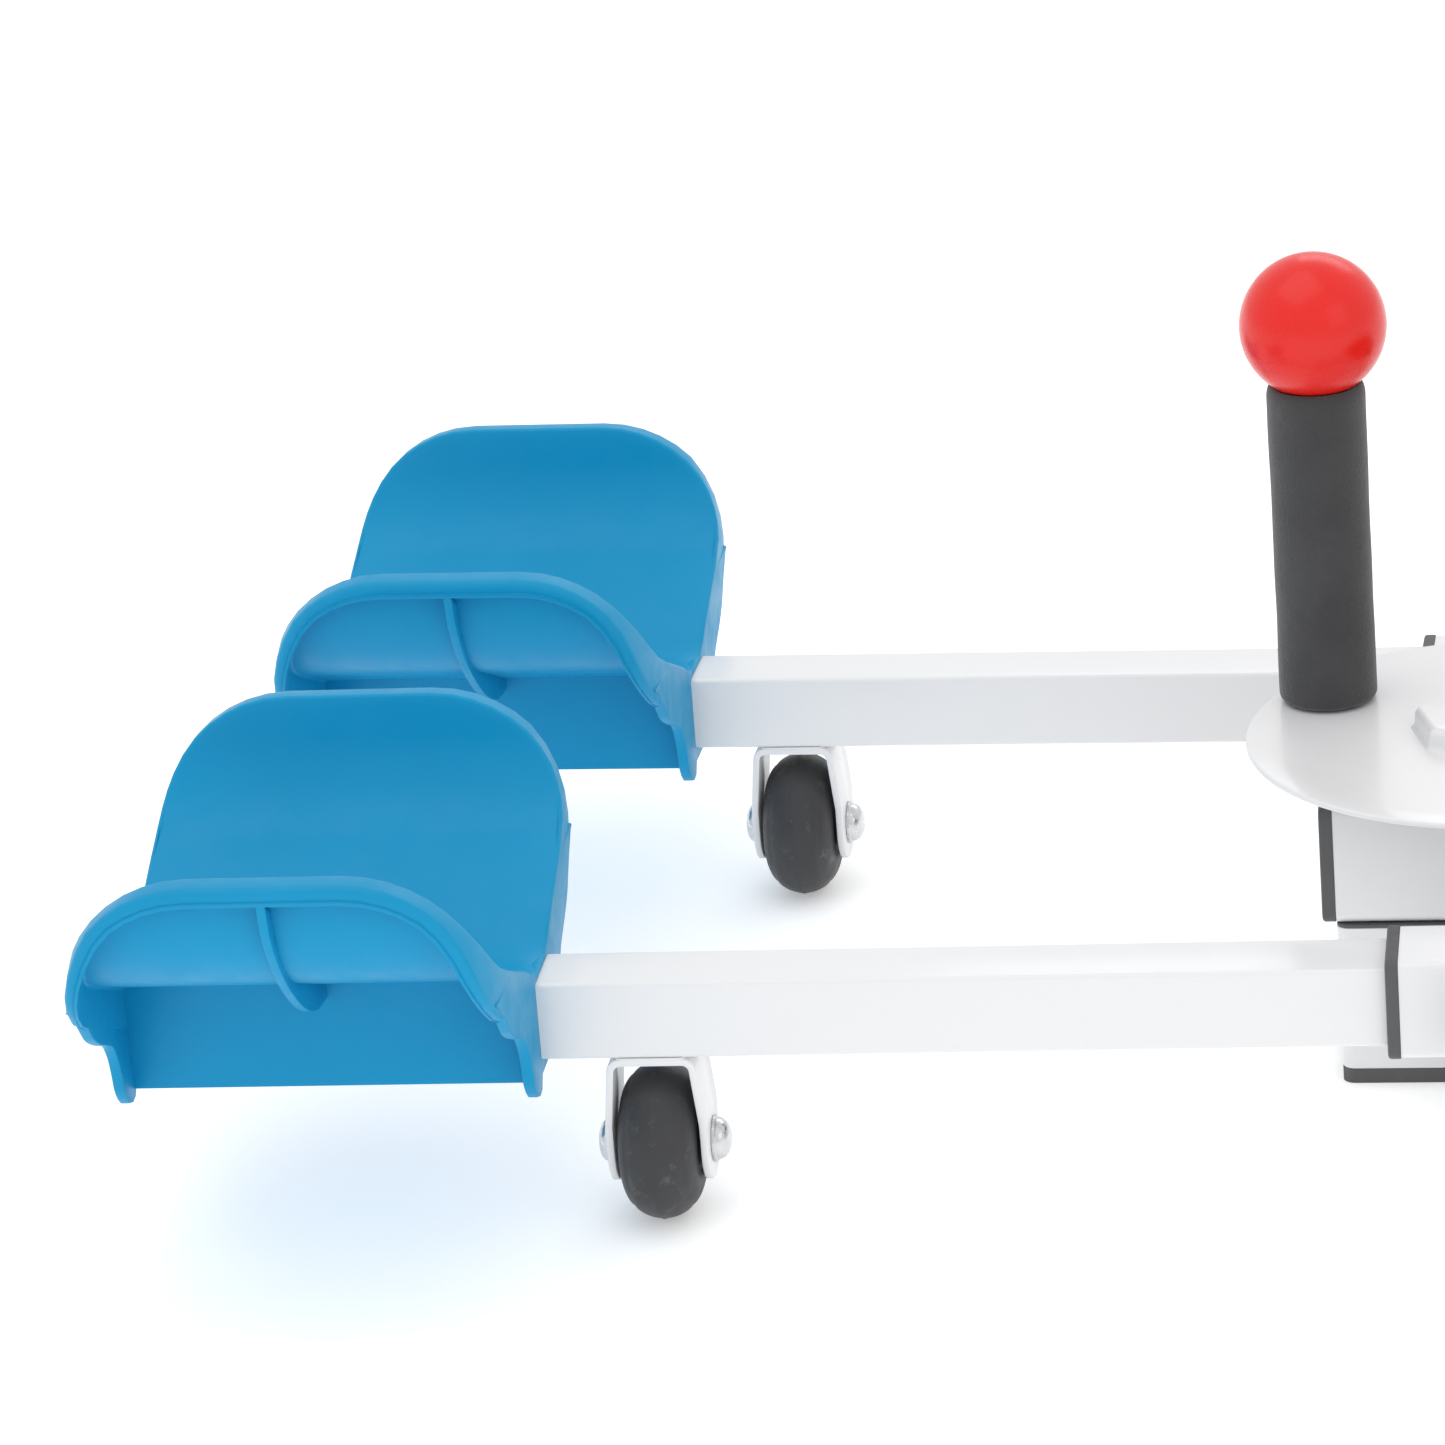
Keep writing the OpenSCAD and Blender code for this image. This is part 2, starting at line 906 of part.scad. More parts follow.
module cradle(side) {
    color("#2b93c4")
        on_leg(side)
            translate([-cradle_gap - cradle_len, 0, tube_z])
                difference() {
                    union() {
                        intersection() {
                            trough_band(shell_t);
                            cradle_side(0, 0);
                        }
                        difference() {
                            intersection() {
                                trough_band(rim_depth);
                                cradle_side(0, 0);
                                translate([-1, -rim_y, -60])
                                    cube([cradle_len + 2, 2 * rim_y, 200]);
                            }
                            cradle_side(end_t, rim_t);
                        }
                        cross_plate(1, cradle_len - 2, concat(
                            [[-socket_y, socket_z], [socket_y, socket_z], [socket_y, 17.2]],
                            back(trough_line(shell_t / 2, 16.3)), [[-socket_y, 17.2]]));
                        intersection() {
                            for (x = [0, cradle_len - end_t])
                                cross_plate(x, end_t,
                                    concat(stem_edge(), flip(stem_edge()), trough_line(shell_t / 2, 51)));
                            cradle_side(0, 0);
                        }
                        cross_plate((cradle_len - rib_t) / 2, rib_t,
                            concat(rib_edge(), flip(rib_edge()), trough_line(shell_t / 2, 66)));
                    }
                    bar_x(socket_end - 0.1, cradle_len + 1, leg_tube_w + 0.1, leg_tube_w + 0.1, 0, tube_corner);
                }
}

module fork(side) {
    gap = 0.4;
    top_z = tube_z - leg_tube_w / 2 - gap;
    low_z = wheel_r - fork_half;
    color("#f2f3f5")
        on_leg(side)
            difference() {
                intersection() {
                    rotate([90, 0, 0])
                        translate([0, 0, -fork_half])
                            linear_extrude(2 * fork_half)
                                polygon([
                                    [-fork_top_y, top_z], [fork_top_y, top_z],
                                    [fork_low_y, wheel_r + 12], [fork_low_y, low_z],
                                    [fork_low_y - fork_t, low_z], [fork_low_y - fork_t, wheel_r + 12],
                                    [fork_top_y - fork_t, top_z - fork_t], [-fork_top_y + fork_t, top_z - fork_t],
                                    [-fork_low_y + fork_t, wheel_r + 12], [-fork_low_y + fork_t, low_z],
                                    [-fork_low_y, low_z], [-fork_low_y, wheel_r + 12]
                                ]);
                    translate([-50, 0, 0])
                        rotate([90, 0, 90])
                            linear_extrude(100)
                                union() {
                                    translate([0, wheel_r])
                                        circle(fork_half);
                                    translate([-fork_half, wheel_r])
                                        square([2 * fork_half, 100]);
                                }
                }
                translate([-50, 0, wheel_r])
                    rotate([0, 90, 0])
                        cylinder(r = axle_r, h = 100);
            }
    color("silver")
        on_leg(side)
            disc(3, top_z - fork_t, tube_z - leg_tube_w / 2);
}

module axle_bolt(side) {
    color("silver")
        on_leg(side)
            translate([0, 0, wheel_r])
                rotate([0, 90, 0]) {
                    disc(axle_r, -fork_low_y - 1, fork_low_y + 3);
                    translate([0, 0, fork_low_y])
                        cylinder(r = 7.4, h = 3);
                    translate([0, 0, fork_low_y + 3])
                        cylinder(r1 = 7, r2 = 4.5, h = 2.6);
                    translate([0, 0, -fork_low_y - 2])
                        cylinder(r = 7.4, h = 2);
                    translate([0, 0, -fork_low_y - 4.2])
                        cylinder(r1 = 4.5, r2 = 7, h = 2.2);
                }
}

module wheel(side) {
    half = wheel_w / 2;
    color("#48494b")
        on_leg(side)
            translate([0, 0, wheel_r])
                rotate([0, 90, 0])
                    rotate_extrude()
                        difference() {
                            union() {
                                translate([wheel_r - half, 0])
                                    circle(half);
                                translate([0, -half])
                                    square([wheel_r - half, wheel_w]);
                            }
                            translate([-half, -wheel_w])
                                square([half + axle_r + running, 2 * wheel_w]);
                        }
}

module near_sleeve() { sleeve(near); }
module near_guide_collar() { guide_collar(near); }
module near_sleeve_cap() { sleeve_cap(near); }
module near_swing_plate() { swing_plate(near); }
module near_pivot_bolt() { pivot_bolt(near); }
module near_arm_gear() { arm_gear(near); }
module near_clamp_knob() { clamp_knob(near); }
module near_leg_tube() { leg_tube(near); }
module near_slide_plug() { slide_plug(near); }
module near_cradle() { cradle(near); }
module near_fork() { fork(near); }
module near_axle_bolt() { axle_bolt(near); }
module near_wheel() { wheel(near); }
module far_sleeve() { sleeve(far); }
module far_guide_collar() { guide_collar(far); }
module far_sleeve_cap() { sleeve_cap(far); }
module far_swing_plate() { swing_plate(far); }
module far_pivot_bolt() { pivot_bolt(far); }
module far_arm_gear() { arm_gear(far); }
module far_clamp_knob() { clamp_knob(far); }
module far_leg_tube() { leg_tube(far); }
module far_slide_plug() { slide_plug(far); }
module far_cradle() { cradle(far); }
module far_fork() { fork(far); }
module far_axle_bolt() { axle_bolt(far); }
module far_wheel() { wheel(far); }

main_beam();
beam_front_cap();
beam_rear_cap();
front_post();
front_post_pad();
front_foot();
rear_foot_bar();
rear_bar_pad();
rear_bar_caps();
rear_feet();
gear_case();
gear_case_cover();
case_screws();
case_spacer();
pivot_bushes();
idler_pin();
wheel_bearing();
shaft_spacer();
shaft_foot_bush();
seat_board();
seat_pad();
seat_screws();
handwheel_disc();
handwheel_hub();
crank_shaft();
drive_pinion();
hub_nut();
grip_spindle();
ball_knob();
foam_grip();
grip_tube();
idler_gear();
near_sleeve();
near_guide_collar();
near_sleeve_cap();
near_swing_plate();
near_pivot_bolt();
near_arm_gear();
near_clamp_knob();
near_leg_tube();
near_slide_plug();
near_cradle();
near_fork();
near_axle_bolt();
near_wheel();
far_sleeve();
far_guide_collar();
far_sleeve_cap();
far_swing_plate();
far_pivot_bolt();
far_arm_gear();
far_clamp_knob();
far_leg_tube();
far_slide_plug();
far_cradle();
far_fork();
far_axle_bolt();
far_wheel();
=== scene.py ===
"""Leg stretching machine: the visible finish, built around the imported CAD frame.

Pieces are drawn in millimetres in a local frame and placed by a matrix that also turns them into metres.
"""

import json
from math import acos, asin, cos, exp, log, pi, radians, sin, sqrt, tan

import bmesh
import bpy
import numpy as np
from mathutils import Matrix, Vector, noise


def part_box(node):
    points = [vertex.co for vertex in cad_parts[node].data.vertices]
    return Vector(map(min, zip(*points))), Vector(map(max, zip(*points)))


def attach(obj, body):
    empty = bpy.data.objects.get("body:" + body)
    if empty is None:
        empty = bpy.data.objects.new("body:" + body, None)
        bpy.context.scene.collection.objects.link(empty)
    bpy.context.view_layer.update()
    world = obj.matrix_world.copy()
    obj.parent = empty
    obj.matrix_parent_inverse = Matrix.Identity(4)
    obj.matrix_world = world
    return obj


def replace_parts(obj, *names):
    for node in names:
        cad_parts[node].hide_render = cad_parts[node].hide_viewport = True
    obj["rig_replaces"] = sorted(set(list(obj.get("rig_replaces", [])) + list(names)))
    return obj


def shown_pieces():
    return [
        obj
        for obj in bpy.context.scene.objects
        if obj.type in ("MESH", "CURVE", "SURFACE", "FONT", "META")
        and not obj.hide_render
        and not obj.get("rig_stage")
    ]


MM = 0.001
SIDES = ("near", "far")
Z_TO_X = Matrix(((0, 0, 1, 0), (1, 0, 0, 0), (0, 1, 0, 0), (0, 0, 0, 1)))  # x to y, y to z, z to x

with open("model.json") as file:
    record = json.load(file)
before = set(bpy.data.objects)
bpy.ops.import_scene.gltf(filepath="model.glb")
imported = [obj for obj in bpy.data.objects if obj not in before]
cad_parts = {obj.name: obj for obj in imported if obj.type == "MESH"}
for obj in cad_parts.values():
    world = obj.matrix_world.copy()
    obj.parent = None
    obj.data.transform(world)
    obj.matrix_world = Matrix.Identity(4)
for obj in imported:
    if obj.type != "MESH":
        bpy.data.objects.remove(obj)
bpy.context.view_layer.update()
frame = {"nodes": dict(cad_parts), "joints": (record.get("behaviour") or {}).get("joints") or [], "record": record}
joints = {j["name"]: j for j in frame["joints"]}
body_of_node = {n: b for b, members in frame["record"]["behaviour"]["bodies"].items() for n in members}
slot_of_node = {p["node"]: p["material_slot"] for p in frame["record"]["subparts"]}


# ---------- camera ----------

def make_camera():
    aim = Vector((-0.2343, 0, 0.1131))
    distance = 2.0388
    heading, drop, roll = radians(10.03), radians(20.71), radians(4.58)
    forward = Vector((-sin(heading) * cos(drop), cos(heading) * cos(drop), -sin(drop)))
    level = Vector((cos(heading), sin(heading), 0))
    upright = level.cross(forward)
    right = level * cos(roll) - upright * sin(roll)
    up = upright * cos(roll) + level * sin(roll)
    data = bpy.data.cameras.new("camera")
    data.sensor_width, data.lens = 36, 155.89
    data.clip_start, data.clip_end = 0.05, 60
    camera = bpy.data.objects.new("camera", data)
    camera.matrix_world = Matrix((right, up, -forward)).transposed().to_4x4()
    camera.location = aim - forward * distance
    bpy.context.scene.collection.objects.link(camera)
    bpy.context.scene.camera = camera


# ---------- materials ----------

class Finish:
    """A material and the few node shapes that the finishes are made of. Scales are in cycles per metre."""

    def __init__(self, name, colour, rough, metal=0.0, coat=0.0, sheen=0.0, specular=0.5):
        self.material = bpy.data.materials.new(name)
        self.material.use_nodes = True
        self.tree = self.material.node_tree
        self.shader = self.tree.nodes["Principled BSDF"]
        self.colour = (*colour, 1)
        self.shader.inputs["Base Color"].default_value = self.colour
        self.shader.inputs["Roughness"].default_value = rough
        self.shader.inputs["Metallic"].default_value = metal
        self.shader.inputs["Coat Weight"].default_value = coat
        self.shader.inputs["Coat Roughness"].default_value = 0.12
        self.shader.inputs["Sheen Weight"].default_value = sheen
        self.shader.inputs["Sheen Roughness"].default_value = 0.5
        self.shader.inputs["Specular IOR Level"].default_value = specular
        self.place = self.tree.nodes.new("ShaderNodeTexCoord").outputs["Object"]
        self.normal = None

    def node(self, kind, **values):
        made = self.tree.nodes.new(kind)
        for key, value in values.items():
            made.inputs[key.replace("_", " ")].default_value = value
        return made

    def noise(self, scale, detail=3.0, roughness=0.55):
        made = self.node("ShaderNodeTexNoise", Scale=scale, Detail=detail, Roughness=roughness)
        self.tree.links.new(self.place, made.inputs["Vector"])
        return made.outputs["Fac"]

    def cells(self, scale, feature="F1"):
        made = self.node("ShaderNodeTexVoronoi", Scale=scale)
        made.feature = feature
        self.tree.links.new(self.place, made.inputs["Vector"])
        return made.outputs["Distance"]

    def range(self, value, low, high, to_low, to_high):
        made = self.node("ShaderNodeMapRange", From_Min=low, From_Max=high, To_Min=to_low, To_Max=to_high)
        self.tree.links.new(value, made.inputs["Value"])
        return made.outputs["Result"]

    def tint(self, factor, other):
        """Mixes another colour in where factor is 1, over the colours mixed so far."""
        mix = self.tree.nodes.new("ShaderNodeMix")
        mix.data_type = "RGBA"
        first, second, mixed = mix.inputs[6], mix.inputs[7], mix.outputs[2]
        base = self.shader.inputs["Base Color"]
        if base.is_linked:
            self.tree.links.new(base.links[0].from_socket, first)
        else:
            first.default_value = self.colour
        second.default_value = (*other, 1)
        self.tree.links.new(factor, mix.inputs["Factor"])
        self.tree.links.new(mixed, base)

    def rough(self, value, low, high):
        self.tree.links.new(self.range(value, 0.3, 0.7, low, high), self.shader.inputs["Roughness"])

    def bump(self, height, distance):
        """Raises the surface by distance in metres where height is 1."""
        made = self.node("ShaderNodeBump", Strength=1.0, Distance=distance)
        self.tree.links.new(height, made.inputs["Height"])
        if self.normal:
            self.tree.links.new(self.normal, made.inputs["Normal"])
        self.normal = made.outputs["Normal"]
        self.tree.links.new(self.normal, self.shader.inputs["Normal"])


def white_paint():
    finish = Finish("white_paint", (0.78, 0.783, 0.79), 0.3, coat=0.45)
    finish.tint(finish.range(finish.noise(9, 4), 0.42, 0.75, 0, 0.35), (0.74, 0.745, 0.765))
    finish.tint(finish.range(finish.noise(900, 2), 0.72, 0.8, 0, 0.4), (0.60, 0.60, 0.61))
    finish.rough(finish.noise(60), 0.30, 0.42)
    finish.bump(finish.noise(420, 2), 0.00003)
    return finish.material


def black_plastic():
    finish = Finish("black_plastic", (0.088, 0.089, 0.092), 0.52, specular=0.4)
    finish.tint(finish.range(finish.noise(35), 0.4, 0.7, 0, 0.5), (0.10, 0.10, 0.102))
    finish.rough(finish.noise(120), 0.46, 0.6)
    finish.bump(finish.noise(2600, 2), 0.00004)
    return finish.material


def foot_rubber():
    finish = Finish("foot_rubber", (0.098, 0.098, 0.099), 0.72, specular=0.3)
    finish.tint(finish.range(finish.noise(70), 0.5, 0.75, 0, 0.6), (0.14, 0.137, 0.13))
    finish.bump(finish.noise(1500, 3), 0.00006)
    return finish.material


def wheel_rubber():
    finish = Finish("wheel_rubber", (0.045, 0.045, 0.047), 0.46, specular=0.32)
    finish.tint(finish.range(finish.noise(160, 5, 0.7), 0.58, 0.75, 0, 0.55), (0.16, 0.158, 0.152))
    finish.rough(finish.noise(90), 0.4, 0.6)
    finish.bump(finish.noise(1800, 3), 0.00004)
    return finish.material


def grip_foam():
    finish = Finish("grip_foam", (0.052, 0.052, 0.054), 0.9, sheen=0.3, specular=0.2)
    finish.tint(finish.range(finish.noise(55, 4), 0.4, 0.7, 0, 0.4), (0.078, 0.078, 0.08))
    finish.tint(finish.range(finish.cells(1500), 0.0, 0.28, 0.55, 0), (0.035, 0.035, 0.036))
    finish.bump(finish.range(finish.cells(1500), 0.05, 0.5, 0, 1), 0.00012)
    finish.bump(finish.noise(260, 3), 0.00018)
    return finish.material


def zinc_steel():
    finish = Finish("zinc_steel", (0.66, 0.665, 0.675), 0.28, metal=1.0)
    finish.tint(finish.range(finish.noise(240, 4), 0.5, 0.72, 0, 0.45), (0.50, 0.505, 0.52))
    finish.rough(finish.noise(500), 0.18, 0.38)
    finish.bump(finish.noise(1400, 3), 0.00002)
    return finish.material


def gear_nylon():
    finish = Finish("gear_nylon", (0.74, 0.70, 0.60), 0.42)
    finish.shader.inputs["Subsurface Weight"].default_value = 0.1
    finish.shader.inputs["Subsurface Radius"].default_value = (0.004, 0.003, 0.002)
    finish.tint(finish.range(finish.noise(60), 0.4, 0.7, 0, 0.4), (0.69, 0.64, 0.53))
    finish.bump(finish.noise(1200, 2), 0.00002)
    return finish.material


def ball_red():
    finish = Finish("ball_red", (0.76, 0.013, 0.008), 0.26, coat=0.1, specular=0.34)
    finish.tint(finish.range(finish.noise(45, 3), 0.42, 0.7, 0, 0.4), (0.78, 0.012, 0.008))
    finish.rough(finish.noise(300), 0.22, 0.32)
    finish.bump(finish.noise(500, 2), 0.00001)
    return finish.material


def cradle_blue():
    finish = Finish("cradle_blue", (0.003, 0.278, 0.525), 0.44, specular=0.2)
    finish.tint(finish.range(finish.noise(14, 4), 0.4, 0.72, 0, 0.6), (0.005, 0.305, 0.575))
    finish.rough(finish.noise(90), 0.34, 0.5)
    finish.bump(finish.noise(2200, 2), 0.000025)
    finish.bump(finish.noise(55, 2), 0.00008)
    return finish.material


def seat_vinyl():
    finish = Finish("seat_vinyl", (0.022, 0.022, 0.024), 0.46, specular=0.5)
    grain = finish.cells(420, "DISTANCE_TO_EDGE")
    finish.tint(finish.range(grain, 0.0, 0.16, 0.5, 0), (0.012, 0.012, 0.013))
    finish.rough(finish.noise(150), 0.38, 0.55)
    finish.bump(finish.range(grain, 0.0, 0.22, 0, 1), 0.00016)
    finish.bump(finish.noise(1600, 3), 0.00005)
    return finish.material


FINISHES = {make.__name__: make() for make in (
    white_paint, black_plastic, foot_rubber, wheel_rubber, grip_foam, zinc_steel, gear_nylon, ball_red,
    cradle_blue, seat_vinyl)}


# ---------- shapes ----------

def rounded(corners, steps=6):
    """Closed outline through corners (x, y, radius), each turned by an arc."""
    points = []
    for i, (x, y, radius) in enumerate(corners):
        here = Vector((x, y))
        if radius == 0:
            points.append(here)
            continue
        back = Vector(corners[i - 1][:2]) - here
        on = Vector(corners[(i + 1) % len(corners)][:2]) - here
        half = back.angle(on) / 2
        reach = radius / tan(half)
        centre = here + (back.normalized() + on.normalized()).normalized() * radius / sin(half)
        start = here + back.normalized() * reach - centre
        end = here + on.normalized() * reach - centre
        sweep = start.angle_signed(end)
        for k in range(steps + 1):
            angle = sweep * k / steps
            points.append(centre + Vector((
                start.x * cos(angle) + start.y * sin(angle),
                -start.x * sin(angle) + start.y * cos(angle))))
    return points


def round_rect(w, h, radius, steps=6):
    return rounded([(w / 2, h / 2, radius), (-w / 2, h / 2, radius), (-w / 2, -h / 2, radius),
                    (w / 2, -h / 2, radius)], steps)


def grown(outline, by):
    """The outline moved outwards along its own normals."""
    out = []
    n = len(outline)
    for i in range(n):
        along = (outline[(i + 1) % n] - outline[i - 1]).normalized()
        out.append(outline[i] + Vector((along.y, -along.x)) * by)
    return out


def loft(rings, ends=True, looped=False):
    """A mesh through rings of equal length, each a list of 3-D points."""
    count = len(rings[0])
    verts = [tuple(p) for ring in rings for p in ring]
    faces = []
    spans = len(rings) if looped else len(rings) - 1
    for r in range(spans):
        a, b = r * count, (r + 1) % len(rings) * count
        for i in range(count):
            k = (i + 1) % count
            faces.append((a + i, a + k, b + k, b + i))
    if ends and not looped:
        faces.append(tuple(range(count - 1, -1, -1)))
        faces.append(tuple(range(len(verts) - count, len(verts))))
    mesh = bpy.data.meshes.new("shape")
    mesh.from_pydata(verts, [], faces)
    return mesh


def lathe(profile, segments=96):
    """Turns a profile of (radius, height) about Z.

    The profile runs from axis to axis, or is a closed ring off the axis.
    """
    solid = profile[0][0] == 0
    rings = [[(r * cos(2 * pi * k / segments), r * sin(2 * pi * k / segments), z) for k in range(segments)]
             for r, z in profile]
    mesh = loft(rings, ends=False, looped=not solid)
    if solid:
        work = bmesh.new()
        work.from_mesh(mesh)
        bmesh.ops.remove_doubles(work, verts=work.verts, dist=1e-6)
        bmesh.ops.dissolve_degenerate(work, edges=work.edges, dist=1e-7)
        work.to_mesh(mesh)
        work.free()
    return mesh


def slab(outline, z0, z1, edge, steps=3):
    """A plate of that outline whose top and bottom edges are rounded."""
    rings = []
    for k in range(steps + 1):
        a = pi / 2 * k / steps
        rings.append((edge * (sin(a) - 1), z0 + edge * (1 - cos(a))))
    for k in range(steps, -1, -1):
        a = pi / 2 * k / steps
        rings.append((edge * (sin(a) - 1), z1 - edge * (1 - cos(a))))
    return loft([[(p.x, p.y, z) for p in grown(outline, inset)] for inset, z in rings])


def pipe(outer, inner, z0, z1, edge=0.3):
    """A hollow bar of two outlines with softened ends."""
    rings = [(outer, 0, z0 + edge), (outer, 0, z1 - edge), (outer, -edge, z1),
             (inner, edge, z1), (inner, 0, z1 - edge), (inner, 0, z0 + edge), (inner, edge, z0),
             (outer, -edge, z0)]
    return loft([[(p.x, p.y, z) for p in grown(line, by)] for line, by, z in rings], looped=True)


def combined(*meshes):
    """Several closed shapes in one mesh."""
    work = bmesh.new()
    for mesh in meshes:
        work.from_mesh(mesh)
    out = bpy.data.meshes.new("shape")
    work.to_mesh(out)
    work.free()
    return out


def evaluated(obj):
    """A new mesh of the object with its modifiers applied."""
    bpy.context.view_layer.update()
    return bpy.data.meshes.new_from_object(obj.evaluated_get(bpy.context.evaluated_depsgraph_get()))


def cut_by(mesh, cutters):
    """A closed shape less the closed shapes in cutters."""
    def temp(shape):
        obj = bpy.data.objects.new("temp", shape)
        bpy.context.scene.collection.objects.link(obj)
        return obj

    base = temp(mesh)
    others = [temp(cutter) for cutter in cutters]
    for other in others:
        modifier = base.modifiers.new("cut", "BOOLEAN")
        modifier.operation, modifier.object, modifier.solver = "DIFFERENCE", other, "EXACT"
    result = evaluated(base)
    for obj in [base] + others:
        bpy.data.objects.remove(obj)
    return result


def triangles(mesh):
    """The mesh with its faces split into triangles, so that a cut through it stays clean."""
    work = bmesh.new()
    work.from_mesh(mesh)
    bmesh.ops.triangulate(work, faces=work.faces)
    work.to_mesh(mesh)
    work.free()
    return mesh


def piece(name, mesh, place, node, crease=35):
    """Puts a finished shape in the scene for the CAD node it stands for."""
    work = bmesh.new()
    work.from_mesh(mesh)
    bmesh.ops.recalc_face_normals(work, faces=work.faces)
    work.to_mesh(mesh)
    work.free()
    mesh.transform(place)
    mesh.shade_smooth()
    mesh.set_sharp_from_angle(angle=radians(crease))
    obj = bpy.data.objects.new(name, mesh)
    bpy.context.scene.collection.objects.link(obj)
    slot = slot_of_node[node]
    obj.data.materials.clear()
    obj.data.materials.append(FINISHES[slot])
    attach(obj, body_of_node[node])
    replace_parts(obj, node)
    return obj


# ---------- places ----------

def in_mm(place):
    """The same frame, measured in millimetres."""
    return place @ Matrix.Scale(MM, 4)


def framed(origin, x, y, z):
    """A frame in millimetres with these axes."""
    place = Matrix((x, y, z)).transposed().to_4x4()
    place.translation = origin
    return in_mm(place)


def local(origin, along):
    """A frame in millimetres: x along, z up."""
    along = along.normalized()
    across = Vector((0, 0, 1)).cross(along).normalized()
    return framed(origin, along, across, along.cross(across))


def span(node, place):
    """The lowest and highest corner of a CAD node in a local frame."""
    back = np.array(place.inverted())
    co = np.array([v.co for v in frame["nodes"][node].data.vertices]).reshape(-1, 3)
    co = co @ back[:3, :3].T + back[:3, 3]
    return Vector(co.min(0)), Vector(co.max(0))


def leg_place(side):
    """A leg's frame: x along the arm from the wheel's middle, y to the far side, z from the floor."""
    joint = joints[f"{side}_wheel_roll"]
    at = Vector(joint["pos_m"])
    return local(Vector((at.x, at.y, 0)), Vector(joint["axis"]))


def along_x(place):
    """The frame turned so that a shape made about its z lies along its x."""
    return place @ Matrix.Rotation(pi / 2, 4, "Y")


def shifted(place, x=0, y=0, z=0):
    return place @ Matrix.Translation((x, y, z))


# ---------- calf cradles ----------

SHELL = 2.8        # wall of the moulding
RIM = 16.0         # how far the rim flange stands out, where RIM_Y allows
RIM_Y = 84.5       # half width over the rim
BOTTOM_R = 34.0    # wide round bottom of the trough
FLANK = radians(24)
FLANK_Y = 54.0     # where the flat flank turns into the lip's bend
LIP_R = 34.0       # bend from the flank up to the lip
LIP = radians(85)  # slope of the lip above the bend
CORNER_R = 43.0    # round top corners, seen from the side
TROUGH_Z = 14.8    # trough bottom above the tube's centre
END = 3.7          # thickness of the end plates
RIB = 2.9          # thickness of the gusset rib
BOX_Y = 16.2       # half width of the socket round the tube
BOX_Z = -18.5      # its underside, from the tube's centre
BOX_TOP = 17.2     # where its sides meet the trough's wall


